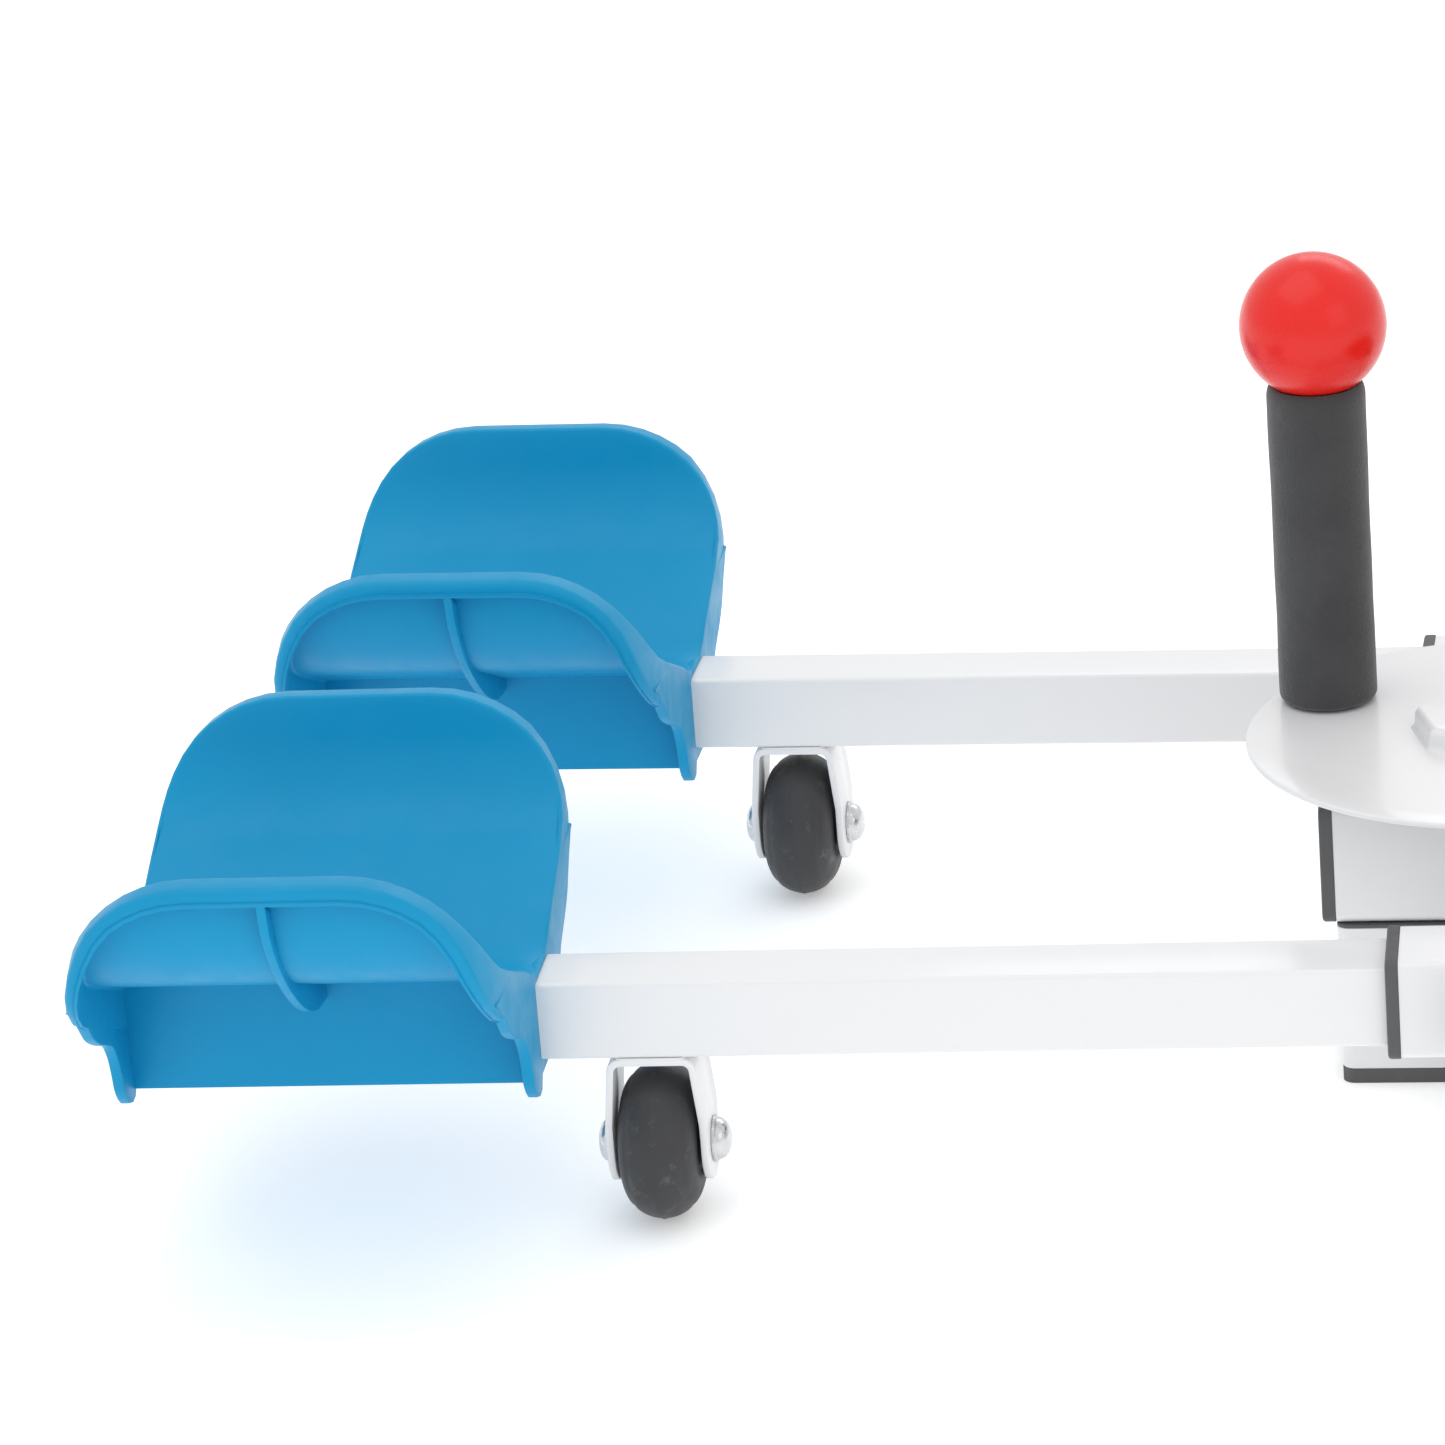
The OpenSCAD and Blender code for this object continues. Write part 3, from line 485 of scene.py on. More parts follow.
class Trough:
    """The calf trough: a wide V with curved lips, along x from 0 to length, z from the tube's centre."""

    def __init__(self, length, top):
        self.length, self.top = length, top
        self.arc = BOTTOM_R * FLANK
        self.flank_z = TROUGH_Z + BOTTOM_R + FLANK_Y * tan(FLANK) - BOTTOM_R / cos(FLANK)
        self.flat = (FLANK_Y - BOTTOM_R * sin(FLANK)) / cos(FLANK)
        self.bend = LIP_R * (LIP - FLANK)
        self.bend_z = self.flank_z + LIP_R * (cos(FLANK) - cos(LIP))
        self.angles = [radians(a) for a in (0, 8, 14, 20, 27, 35, 44, 53, 62, 71, 80, 90)]

    def reach(self, z):
        """Distance along the section from the bottom up to height z."""
        if z <= self.flank_z:
            return self.arc + self.flat - (self.flank_z - z) / sin(FLANK)
        if z <= self.bend_z:
            angle = acos(cos(FLANK) - (z - self.flank_z) / LIP_R)
            return self.arc + self.flat + LIP_R * (angle - FLANK)
        return self.arc + self.flat + self.bend + (z - self.bend_z) / sin(LIP)

    def at(self, x, s, out):
        """The point s along the section, on the surface that lies out outside the trough's inner face."""
        side, s = (1 if s >= 0 else -1), abs(s)
        past = max(0, s - self.arc - self.flat - self.bend)
        if s < self.arc:
            a = s / BOTTOM_R
            y, z = BOTTOM_R * sin(a), TROUGH_Z + BOTTOM_R * (1 - cos(a))
        elif s < self.arc + self.flat:
            a, d = FLANK, s - self.arc
            y = BOTTOM_R * sin(FLANK) + d * cos(FLANK)
            z = TROUGH_Z + BOTTOM_R * (1 - cos(FLANK)) + d * sin(FLANK)
        else:
            a = min(LIP, FLANK + (s - self.arc - self.flat) / LIP_R)
            y = FLANK_Y + LIP_R * (sin(a) - sin(FLANK)) + past * cos(LIP)
            z = self.flank_z + LIP_R * (cos(FLANK) - cos(a)) + past * sin(LIP)
        z -= self.scoop(x, y) * max(0, 1 - out / 9)
        return Vector((x, side * (y + out * sin(a)), z - out * cos(a)))

    def rim_at(self, s):
        """How far the rim stands out at s: it is deep along the flank, and its lips are cut upright."""
        inner = self.at(self.length / 2, abs(s), 0)
        ahead = self.at(self.length / 2, abs(s), 1) - inner
        room = (RIM_Y - inner.y) / ahead.y if ahead.y > 0.05 else 99
        return -1.5 * log(exp(-RIM / 1.5) + exp(-room / 1.5))

    def scoop(self, x, y):
        """How far the trough's bottom curves down towards its end faces."""
        near = exp(-(y / 20) ** 4)
        length = 0.5 + 8 * near
        into = 1 - min(1, min(x, self.length - x) / length)
        return 1.7 * near * (1 - sqrt(max(0, 1 - into * into)))

    def columns(self, inset, drop):
        """(x, height of the edge) along the cradle, with its ends set in and its top lowered."""
        base, wide, tall = self.top - CORNER_R, CORNER_R - inset, CORNER_R - drop
        left = [(CORNER_R - wide * cos(a), base + tall * sin(a)) for a in self.angles]
        middle = 10
        straight = self.length - 2 * CORNER_R
        flat = [(CORNER_R + straight * k / middle, self.top - drop) for k in range(1, middle)]
        right = [(self.length - x, z) for x, z in reversed(left)]
        return left + flat + right

    def grid(self, inset, drop, out, share=0, rows=46):
        """Points of one face, a line across for each column along.

        The face lies out from the trough's inner face, plus a share of the rim's depth.
        """
        made = []
        for x, z in self.columns(inset, drop):
            edge = self.reach(z)
            line = []
            for k in range(-rows, rows + 1):
                t = abs(k) / rows
                s = (1 if k >= 0 else -1) * edge * t * (0.75 + 0.25 * t)
                line.append(self.at(x, s, out + share * self.rim_at(s) if share else out))
            made.append(line)
        return made

    def under(self, height):
        """(y, z) points inside one half of the wall, from near the bottom up to that height."""
        points = [self.at(self.length / 2, 8 + 4 * k, SHELL / 2) for k in range(40)]
        return [Vector((p.y, p.z)) for p in points if p.z < height]

    def shell(self):
        """The trough's wall with a rim flange that rolls outwards all round, as one closed mesh."""
        soft, roll, step, lower = 1.1, 2.4, 0.25, 0.7  # radii of the edges, and the step at the parting line
        tall, split = 5.6, 3.9  # the rim's height, and the parting line's distance below its top
        quarter = [pi / 2 * k / 4 for k in range(1, 5)]
        squash = END / tall

        def rim_point(down, back):
            return (down * squash, down, -back, 1)

        profile = [(soft * (1 - sin(a)), soft * (1 - sin(a)), soft * (1 - cos(a)), 0) for a in quarter]
        profile += [(0, 0, 0, 0.45)]
        profile += [rim_point(roll * (1 - cos(a)), step + roll - roll * sin(a)) for a in [0] + quarter]
        profile += [rim_point(split - 0.2, step), rim_point(split, -0.3), rim_point(split + 0.2, 0)]
        profile += [rim_point(tall - lower, 0)]
        profile += [rim_point(tall - lower + lower * sin(a), lower - lower * cos(a)) for a in quarter[1::2]]
        fillet = 1.2
        profile += [(tall * squash, tall, SHELL + fillet, 0)]
        profile += [((tall + fillet * (1 - cos(a))) * squash, tall + fillet * (1 - cos(a)),
                     SHELL + fillet * (1 - sin(a)), 0) for a in quarter[:-1]]
        inner = self.grid(soft, soft, 0)
        low = tall + fillet
        outer = self.grid(low * squash, low, SHELL)
        wide, deep = len(inner), len(inner[0])
        loop = ([(0, k) for k in range(deep)] + [(i, deep - 1) for i in range(1, wide)]
                + [(wide - 1, k) for k in range(deep - 2, -1, -1)] + [(i, 0) for i in range(wide - 2, 0, -1)])
        work = bmesh.new()
        faces = []
        for face in (inner, outer):
            made = [[work.verts.new(p) for p in line] for line in face]
            faces.append(made)
            for i in range(wide - 1):
                for k in range(deep - 1):
                    work.faces.new((made[i][k], made[i + 1][k], made[i + 1][k + 1], made[i][k + 1]))
        rings = [[faces[0][i][k] for i, k in loop]]
        for inset, drop, out, share in profile:
            line = self.grid(inset, drop, out, share)
            rings.append([work.verts.new(line[i][k]) for i, k in loop])
        rings.append([faces[1][i][k] for i, k in loop])
        for a, b in zip(rings, rings[1:]):
            for k in range(len(loop)):
                on = (k + 1) % len(loop)
                work.faces.new((a[k], a[on], b[on], b[k]))
        mesh = bpy.data.meshes.new("shell")
        bmesh.ops.recalc_face_normals(work, faces=work.faces)
        work.to_mesh(mesh)
        work.free()
        return mesh


def flowing(points, steps=5):
    """A smooth curve through every point."""
    line = [Vector(p) for p in points]
    line = [2 * line[0] - line[1]] + line + [2 * line[-1] - line[-2]]
    out = []
    for a, b, c, d in zip(line, line[1:], line[2:], line[3:]):
        for k in range(steps):
            t = k / steps
            out.append(0.5 * (2 * b + (c - a) * t + (2 * a - 5 * b + 4 * c - d) * t * t
                              + (3 * b - a - 3 * c + d) * t ** 3))
    return out + [line[-2]]


def mirrored(points):
    return [Vector((-p.x, p.y)) for p in points]


def across_plate(outline, x0, x1, edge=0.5):
    """A plate in the cross-section's plane, from x0 to x1."""
    area = sum(a.x * b.y - a.y * b.x for a, b in zip(outline, outline[1:] + outline[:1]))
    mesh = slab(outline if area > 0 else outline[::-1], x0, x1, edge, 2)
    mesh.transform(Z_TO_X)
    return mesh


def cradle(side):
    """The trough with a socket for the tube, two end plates and a rib. The outer plate has no opening."""
    place = leg_place(side)
    low, high = span(f"{side}_cradle", place)
    tube_low, tube_high = span(f"{side}_leg_tube", place)
    length, tube_z, tube_w = high.x - low.x, (tube_low.z + tube_high.z) / 2, tube_high.y - tube_low.y
    trough = Trough(length, high.z - tube_z)
    inside = [trough.at(length / 2, s, SHELL / 2) for s in (-10, -5, 0, 5, 10)]
    box = [Vector(p) for p in ((-BOX_Y, BOX_TOP), (-BOX_Y, BOX_Z), (BOX_Y, BOX_Z), (BOX_Y, BOX_TOP))]
    socket = across_plate(box + [Vector((p.y, p.z)) for p in reversed(inside)], 1, length - 1, 0.4)
    lobe = flowing([(72.5, 32), (67.5, 27.6), (62.5, 23), (58.5, 18.5), (55, 14.9), (49, 11), (42, 7.6),
                    (36.5, 4.8), (33.5, 1.5), (31, -3), (29.4, -8), (28, -14), (25.5, -18)], 3)
    foot = [Vector((22.6, -20.6)), Vector((19, -21.9)), Vector((15.5, -21.4)), Vector((13, -17.5))]
    edge = lobe + foot
    wall = trough.under(32)
    plate = edge + mirrored(edge)[::-1] + mirrored(wall)[::-1] + wall
    rib = flowing([(84, 70), (82, 60), (76, 49), (67, 38), (56, 28), (45, 20), (34, 14.5), (25, 12),
                   (15, 11)], 3)
    rib_wall = trough.under(66)
    bore = round_rect(tube_w + 0.1, tube_w + 0.1, 1.5)
    channel = across_plate(bore, tube_low.x - low.x, length + 5, 0.01)
    right_plate = across_plate(plate, length - END + 0.05, length - 0.03, 0.6)
    parts = [cut_by(triangles(part), [channel.copy()]) for part in (trough.shell(), socket, right_plate)]
    parts.append(across_plate(plate, 0.03, END - 0.05, 0.6))
    side_edge = rib + [p for p in rib_wall if p.x > 13.5]
    for outline in (side_edge, mirrored(side_edge)):
        parts.append(across_plate(outline, (length - RIB) / 2, (length + RIB) / 2, 0.4))
    mesh = combined(*parts)
    return piece(f"{side}_calf_cradle", mesh, shifted(place, low.x, 0, tube_z), f"{side}_cradle", 32)


# ---------- casters ----------

def wheel(side):
    place = leg_place(side)
    low, high = span(f"{side}_wheel", place)
    radius, half = (high.z - low.z) / 2, (high.x - low.x) / 2
    crown = radius - half
    dome = []
    for k in range(37):
        a = -pi / 2 + pi * k / 36
        ridge = 0.25 * max(0, 1 - abs(k - 18) / 0.9)
        step = 0.35 * max(0, 1 - abs(abs(k - 18) - 9) / 1.2)
        dome.append((crown + half * cos(a) * 0.99 + ridge - step, half * sin(a)))
    side_face = [(crown - 1.2, half), (crown - 2.2, half - 0.9), (8.6, half - 0.9), (8.0, half - 0.3),
                 (7.2, half), (4.4, half)]
    mesh = lathe([(r, -z) for r, z in side_face[::-1]] + dome + side_face, 128)
    return piece(f"{side}_caster_wheel", mesh, along_x(shifted(place, z=radius)), f"{side}_wheel", 40)


def fork(side):
    """A plate bent into an arch, with round leg ends."""
    place = leg_place(side)
    low, high = span(f"{side}_fork", place)
    axle_z = joints[f"{side}_wheel_roll"]["pos_m"][2] / MM
    tube_low, _ = span(f"{side}_leg_tube", place)
    thick, half_y = 2.4, 12.5
    top, foot = tube_low.z - 0.4, low.z
    shoulder = 13.5
    middle = rounded([(-high.x + thick / 2, foot + 0.001, 0), (-high.x + thick / 2, foot + 22, 12),
                      (-shoulder + thick / 2 - 0.3, top - thick / 2, 3.4),
                      (shoulder - thick / 2 + 0.3, top - thick / 2, 3.4),
                      (high.x - thick / 2, foot + 22, 12), (high.x - thick / 2, foot + 0.001, 0)], 6)
    line = []
    for a, b in zip(middle, middle[1:]):
        steps = max(1, round((b - a).length / 1.6))
        line += [a.lerp(b, k / steps) for k in range(steps)]
    line.append(middle[-1])
    rings = []
    for i, p in enumerate(line):
        along = (line[min(i + 1, len(line) - 1)] - line[max(i - 1, 0)]).normalized()
        out = Vector((-along.y, along.x))
        drop = min(1, max(0, (axle_z - p.y) / (axle_z - foot)))
        width = max(half_y * sqrt(max(0, 1 - drop ** 2)), 0.6)
        ring = []
        for corner in round_rect(2 * width, thick, min(0.5, width * 0.9), 2):
            q = p + out * corner.y
            ring.append((q.x, corner.x, q.y))
        rings.append(ring)
    mesh = loft(rings)
    holes = []
    for s in (-1, 1):
        bore = lathe([(0, -6), (4.2, -6), (4.2, 6), (0, 6)], 40)
        bore.transform(along_x(Matrix.Translation((s * 15, 0, axle_z))))
        holes.append(bore)
    stud = lathe([(0, top - thick - 1.4), (4.4, top - thick - 1.4), (5.2, top - thick - 0.6),
                  (5.2, top - thick + 0.5), (0, top - thick + 0.5)], 40)
    bead = pipe(round_rect(2 * shoulder - 4, 2 * half_y, 3), round_rect(2 * shoulder - 7, 2 * half_y - 3, 2),
                top - 0.2, tube_low.z, 0.1)
    mesh = combined(cut_by(mesh, holes), stud, bead)
    return piece(f"{side}_caster_fork", mesh, place, f"{side}_fork", 34)


def axle(side):
    """A button-head bolt through the wheel, and its domed nut."""
    place = leg_place(side)
    low, high = span(f"{side}_axle_bolt", place)
    axle_z = joints[f"{side}_wheel_roll"]["pos_m"][2] / MM
    plate = 15.9

    def dome(base, tip, radius):
        washer = [(0, base), (radius, base), (radius + 0.3, base + 0.3), (radius + 0.3, base + 1.1),
                  (radius, base + 1.4)]
        rise = tip - base - 1.4
        cap = [(radius * 0.93 * cos(pi / 2 * k / 10) ** 0.8, base + 1.4 + rise * sin(pi / 2 * k / 10))
               for k in range(10)]
        return lathe(washer + [(radius * 0.97, base + 1.5)] + cap + [(0, tip)], 64)

    head = dome(plate, high.x, 7.1)
    nut = dome(plate, -low.x, 7.1)
    nut.transform(Matrix.Rotation(pi, 4, "X"))
    shank = lathe([(0, -plate - 0.5), (4, -plate - 0.5), (4, plate + 0.5), (0, plate + 0.5)], 40)
    mesh = combined(head, nut, shank)
    return piece(f"{side}_caster_axle", mesh, along_x(shifted(place, z=axle_z)), f"{side}_axle_bolt", 30)


# ---------- handwheel ----------

SHAFT = 6  # radius of the crank shaft


def axis_place(node):
    """An upright frame on the middle of a round CAD node, at floor height."""
    low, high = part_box(node)
    return local(Vector(((low.x + high.x) / 2, (low.y + high.y) / 2, 0)), Vector((1, 0, 0)))


def heights(node):
    """A round, upright node's lowest and highest level and its radius."""
    low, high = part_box(node)
    return low.z / MM, high.z / MM, (high.x - low.x) / 2 / MM


def ball():
    low, high, radius = heights("ball_knob")
    centre = high - radius
    base = sqrt(max(0, radius ** 2 - (centre - low) ** 2))
    start = asin((low - centre) / radius)
    angles = [start + (pi / 2 - start) * k / 60 for k in range(60)]
    curve = [(radius * cos(a), centre + radius * sin(a)) for a in angles]
    seam = [(r + 0.06 * max(0, 1 - abs(z - centre) / 0.5), z) for r, z in curve]
    return piece("knob_ball", lathe([(0, low), (base - 0.8, low)] + seam[1:] + [(0, high)], 128),
                 axis_place("ball_knob"), "ball_knob")


def foam():
    """The foam grip: a soft foot, a faintly uneven side and a top that is dished round the ball."""
    low, high, radius = heights("foam_grip")
    length = high - low
    inner, foot = 8.5, 2.6
    profile = [(inner, 0.6), (inner + 0.6, 0)]
    for a in (pi / 2 * k / 6 for k in range(7)):
        profile.append((radius - foot + foot * sin(a), foot - foot * cos(a)))
    for k in range(1, 40):
        t = k / 40
        profile.append((radius - 0.18 * sin(pi * t) + 0.05 * sin(17 * t), foot + (length - 3.6) * t))
    knob_top, knob = heights("ball_knob")[1:]
    middle = knob_top - knob - low

    def dish(reach):
        """The height just under the ball, so the foam's top follows it and stays clear of it."""
        return middle - sqrt((knob + 0.35) ** 2 - reach ** 2)

    bend = 1.55
    lip, shoulder, seat = radius - bend, length - 0.9, 11.3
    rise = dish(lip) - 0.15 - shoulder
    profile += [(lip + bend * cos(a), shoulder + rise * sin(a)) for a in (pi / 2 * k / 7 for k in range(8))]
    profile += [(r, dish(r)) for r in (lip - 0.5 + (seat - lip + 0.5) * k / 5 for k in range(6))]
    collar = inner + 0.9  # clears the spindle's collar under the ball
    profile += [(collar + 0.5, dish(seat)), (collar, dish(seat) - 0.5), (collar, length),
                (inner + 0.3, length), (inner, length - 0.3)]
    mesh = lathe(profile, 128)
    for v in mesh.vertices:
        wobble = noise.noise(Vector(v.co) * 0.06) * 0.12
        flat = Vector((v.co.x, v.co.y, 0))
        if flat.length > inner + 2:
            v.co += flat.normalized() * wobble
    return piece("grip_sleeve", mesh, shifted(axis_place("foam_grip"), z=low), "foam_grip", 50)


def wheel_disc():
    low, high, radius = heights("handwheel_disc")
    edge = 0.7
    profile = [(SHAFT, low + 0.3), (SHAFT + 0.3, low)]
    profile += [(radius * t, low) for t in (0.3, 0.6, 0.9)]
    for z, start in ((low + edge, -pi / 2), (high - edge, 0)):
        for a in (start + pi / 2 * k / 4 for k in range(5)):
            profile.append((radius - edge + edge * cos(a), z + edge * sin(a)))
    profile += [(radius * t, high) for t in (0.9, 0.6, 0.3)]
    profile += [(SHAFT + 0.3, high), (SHAFT, high - 0.3)]
    return piece("crank_disc", lathe(profile, 192), axis_place("handwheel_disc"), "handwheel_disc", 30)


def hub():
    """An eight-sided plate with rounded corners and soft edges."""
    low, high, _ = heights("handwheel_hub")
    sides, reach, turn = 8, 28.4, radians(173.7)

    def circle(radius, count):
        return [Vector((radius * cos(2 * pi * k / count + turn), radius * sin(2 * pi * k / count + turn)))
                for k in range(count)]

    outline = rounded([(p.x, p.y, 4) for p in circle(reach, sides)])
    bore = circle(SHAFT, len(outline))
    rings = [(grown(outline, 1.2), low), (grown(outline, 0.3), low + 0.9), (outline, low + 2),
             (grown(outline, -0.3), high - 2.0), (grown(outline, -0.9), high - 0.8),
             (grown(outline, -1.9), high - 0.15), (grown(outline, -2.8), high), (bore, high), (bore, low)]
    plate = loft([[(p.x, p.y, z) for p in line] for line, z in rings], looped=True)
    return piece("crank_hub", plate, axis_place("handwheel_hub"), "handwheel_hub", 40)


def hexagon(radius, steps=8):
    """A hexagon with several points to a side, so that its corners can be chamfered."""
    corners = [Vector((radius * cos(radians(60 * k)), radius * sin(radians(60 * k)))) for k in range(6)]
    return [a.lerp(b, k / steps) for a, b in zip(corners, corners[1:] + corners[:1]) for k in range(steps)]


def nut_rings(radius, z0, z1, flat=0.88):
    """A nut's rings: the corners fall away as if turned on a lathe."""
    line = hexagon(radius)
    slope = 0.55

    def drop(p):
        return max(0, p.length - radius * flat) * slope

    return [[(p.x * flat, p.y * flat, z0) for p in line], [(p.x, p.y, z0 + drop(p)) for p in line],
            [(p.x, p.y, z1 - drop(p)) for p in line], [(p.x * flat, p.y * flat, z1) for p in line]]


def dome_nut():
    low, high, _ = heights("hub_nut")
    skirt_top, dome_r = low + 6, 7.6
    skirt = loft(nut_rings(10, low, skirt_top))
    angles = [pi / 2 * k / 12 for k in range(12)]
    curve = [(dome_r * cos(a), skirt_top + (high - skirt_top) * sin(a)) for a in angles]
    dome = lathe([(0, low + 5), (dome_r, low + 5)] + curve + [(0, high)], 64)
    return piece("hub_dome_nut", combined(skirt, dome), axis_place("hub_nut"), "hub_nut", 30)


def pivot_bolt(side):
    low, high, _ = heights(f"{side}_pivot_bolt")
    head = nut_rings(9, high - 7, high)
    top = [(x * 0.7, y * 0.7, high) for x, y, _ in head[-1]]
    washer = lathe([(0, high - 8.2), (11, high - 8.2), (11.3, high - 7.8), (11.3, high - 7.1),
                    (11, high - 6.8), (0, high - 6.8)], 64)
    shank = lathe([(0, low), (5.6, low), (6, low + 0.4), (6, high - 5), (0, high - 5)], 48)
    return piece(f"{side}_pivot_screw", combined(loft(head + [top]), washer, shank),
                 axis_place(f"{side}_pivot_bolt"), f"{side}_pivot_bolt", 30)


# ---------- tubes, caps and collars ----------

def end_frame(node, axis):
    """A frame whose z runs along a bar, from the middle of the bar's low end, and the bar's size in it."""
    low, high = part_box(node)
    along = "XYZ".index(axis)
    order = ((along + 1) % 3, (along + 2) % 3, along)
    origin = (low + high) / 2
    origin[along] = low[along]
    columns = [Vector([float(row == k) for row in range(3)]) for k in order]
    return framed(origin, *columns), [(high - low)[k] / MM for k in order]


def leg_bar_frame(side, node):
    """The same for a bar that lies along an arm."""
    place = leg_place(side)
    low, high = span(node, place)
    middle, size = (low + high) / 2, high - low
    return place @ Matrix.Translation((low.x, middle.y, middle.z)) @ Z_TO_X, (size.y, size.z, size.x)


def square_tube(name, node, frame_and_size, wall, radius):
    place, (w, h, length) = frame_and_size
    inner = round_rect(w - 2 * wall, h - 2 * wall, max(radius - wall, 0.5), 8)
    return piece(name, pipe(round_rect(w, h, radius, 8), inner, 0, length), place, node, 30)


def end_cap(name, node, axis, flange, corner, outward):
    """A moulded cap: a flange with soft edges, a shallow recess in its face, and a plug inside the tube."""
    place, (w, h, length) = end_frame(node, axis)
    face, into = (0, 1) if outward < 0 else (length, -1)
    back = face + into * flange
    outline = round_rect(w, h, corner, 8)
    rings = [(-0.9, face), (-0.35, face + into * 0.25), (0, face + into * 0.9), (0, back - into * 0.3),
             (-0.3, back)]
    shape = [[(p.x, p.y, z) for p in round_rect(w - inset, h - inset, 1.2, 8)]
             for inset, z in ((11.6, face + into * 0.5), (10.4, face))]
    shape += [[(p.x, p.y, z) for p in grown(outline, by)] for by, z in rings]
    start, end = (flange - 0.1, length + 0.1) if outward < 0 else (0, length + 0.1 - flange)
    plug = slab(round_rect(w - 5.2, h - 5.2, 1.4, 8), start, end, 0.4)
    return piece(name, combined(loft(shape), plug), place, node, 32)


def guide_collar(side):
    """A moulded collar over the sleeve's end, with the rim slightly proud of the steel."""
    node = f"{side}_guide_collar"
    place, (w, h, length) = leg_bar_frame(side, node)
    rim, width, bore = 4.0, 28.75, 25.6
    outer, inner = round_rect(w, h, 3.4, 8), round_rect(bore, bore, 1.6, 8)
    guide = round_rect(width, width, 1.5, 8)
    lines = [(inner, 1.1, 0.0), (outer, -1.0, 0.0), (outer, -0.3, 0.3), (outer, 0, 1.0),
             (outer, 0, rim - 0.3), (outer, -0.3, rim), (guide, 0, rim), (guide, 0, length),
             (inner, 0, length), (inner, 0, 0.9), (inner, 0.35, 0.25)]
    mesh = loft([[(p.x, p.y, z) for p in grown(line, by)] for line, by, z in lines], looped=True)
    return piece(f"{side}_collar", mesh, place, node, 32)


def clamp_knob(side):
    """A five-lobed hand knob with a domed face, on a round stud."""
    node = f"{side}_clamp_knob"
    joint = joints[f"{side}_clamp_turn"]
    out = Vector(joint["axis"]).normalized()
    at = Vector(joint["pos_m"])
    place = in_mm(Matrix.Translation(at) @ out.to_track_quat("Z", "Y").to_matrix().to_4x4())
    low, high = span(node, place)
    outline = []
    for k in range(160):
        a = 2 * pi * k / 160
        r = 13.0 + 1.9 * cos(5 * a) - 0.35 * cos(10 * a)
        outline.append(Vector((r * cos(a), r * sin(a))))
    base = high.z - 13
    rings = [(-2.2, base), (-0.7, base + 0.4), (0, base + 1.5), (0, high.z - 3.2), (-0.5, high.z - 1.7),
             (-1.9, high.z - 0.6), (-4.2, high.z - 0.1), (-6.0, high.z)]

    def drawn_in(by):
        return grown(outline, by) if by > -2 else [q * (1 + by / 14) for q in outline]

    head = loft([[(p.x, p.y, z) for p in drawn_in(by)] for by, z in rings])
    stud = lathe([(0, low.z), (3.4, low.z), (4, low.z + 0.8), (4, base + 2), (0, base + 2)], 40)
    return piece(f"{side}_lock_knob", combined(head, stud), place, node, 34)


# ---------- seat ----------

def seat_place(node):
    """A frame in millimetres on the middle of a seat node's underside, and the node's size in it."""
    low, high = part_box(node)
    mid = (low + high) / 2
    return in_mm(Matrix.Translation((mid.x, mid.y, low.z))), (high - low) / MM


def cushion():
    """The seat pad: foam under vinyl, swollen by a short cloth simulation."""
    low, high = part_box("seat_pad")
    place, (long, wide, tall) = seat_place("seat_pad")
    outline = round_rect(long - 10, wide - 10, 26, 10)
    rings = [(-5, 0.5), (-1.2, 1.5), (0, 5), (0.5, tall * 0.4), (-1.5, tall * 0.62), (-6, tall * 0.78),
             (-14, tall * 0.86), (-32, tall * 0.9), (-60, tall * 0.92)]
    mesh = loft([[(p.x, p.y, z) for p in shrunk(outline, by)] for by, z in rings])
    obj = piece("seat_cushion", mesh, place, "seat_pad", 80)
    swell(obj, voxel=0.005, cap=0.007, base=low.z)
    sew_top(obj, low, high)
    return obj


def shrunk(outline, by):
    """The outline drawn in about its middle by a distance, which stays smooth for large distances."""
    wide = max(abs(p.x) for p in outline)
    deep = max(abs(p.y) for p in outline)
    return [Vector((p.x * (wide + by) / wide, p.y * (deep + by) / deep)) for p in outline]


def swell(obj, voxel, cap, base):
    """Puffs the cover up as cloth under pressure and keeps every point within cap of where it was."""
    remesh = obj.modifiers.new("even", "REMESH")
    remesh.mode, remesh.voxel_size = "VOXEL", voxel
    bake(obj)
    before = points_of(obj.data)
    cloth = obj.modifiers.new("puff", "CLOTH")
    cloth.settings.quality = 6
    cloth.settings.mass = 0.25
    cloth.settings.tension_stiffness = cloth.settings.compression_stiffness = 18
    cloth.settings.use_pressure = True
    cloth.settings.uniform_pressure_force = 4
    cloth.settings.effector_weights.gravity = 0
    pins = obj.vertex_groups.new(name="pins")
    pins.add([v.index for v in obj.data.vertices if v.co.z < base + 0.004], 1, "REPLACE")
    cloth.settings.vertex_group_mass = "pins"
    scene = bpy.context.scene
    for step in range(1, 21):
        scene.frame_set(step)
    bake(obj)
    scene.frame_set(1)
    move = points_of(obj.data) - before
    size = np.linalg.norm(move, axis=1, keepdims=True)
    capped = before + move * np.minimum(1, cap / np.maximum(size, 1e-9))
    obj.data.vertices.foreach_set("co", capped.astype(np.float32).ravel())
    smooth = obj.modifiers.new("smooth", "SMOOTH")
    smooth.factor, smooth.iterations = 0.5, 6
    finer = obj.modifiers.new("finer", "SUBSURF")
    finer.levels = finer.render_levels = 1
    bake(obj)
    obj.data.shade_smooth()


def points_of(mesh):
    co = np.zeros(len(mesh.vertices) * 3, np.float32)
    mesh.vertices.foreach_get("co", co)
    return co.reshape(-1, 3)


def bake(obj):
    """Applies the modifiers and keeps the material."""
    made = evaluated(obj)
    materials = list(obj.data.materials)
    obj.modifiers.clear()
    obj.data = made
    made.materials.clear()
    for material in materials:
        made.materials.append(material)


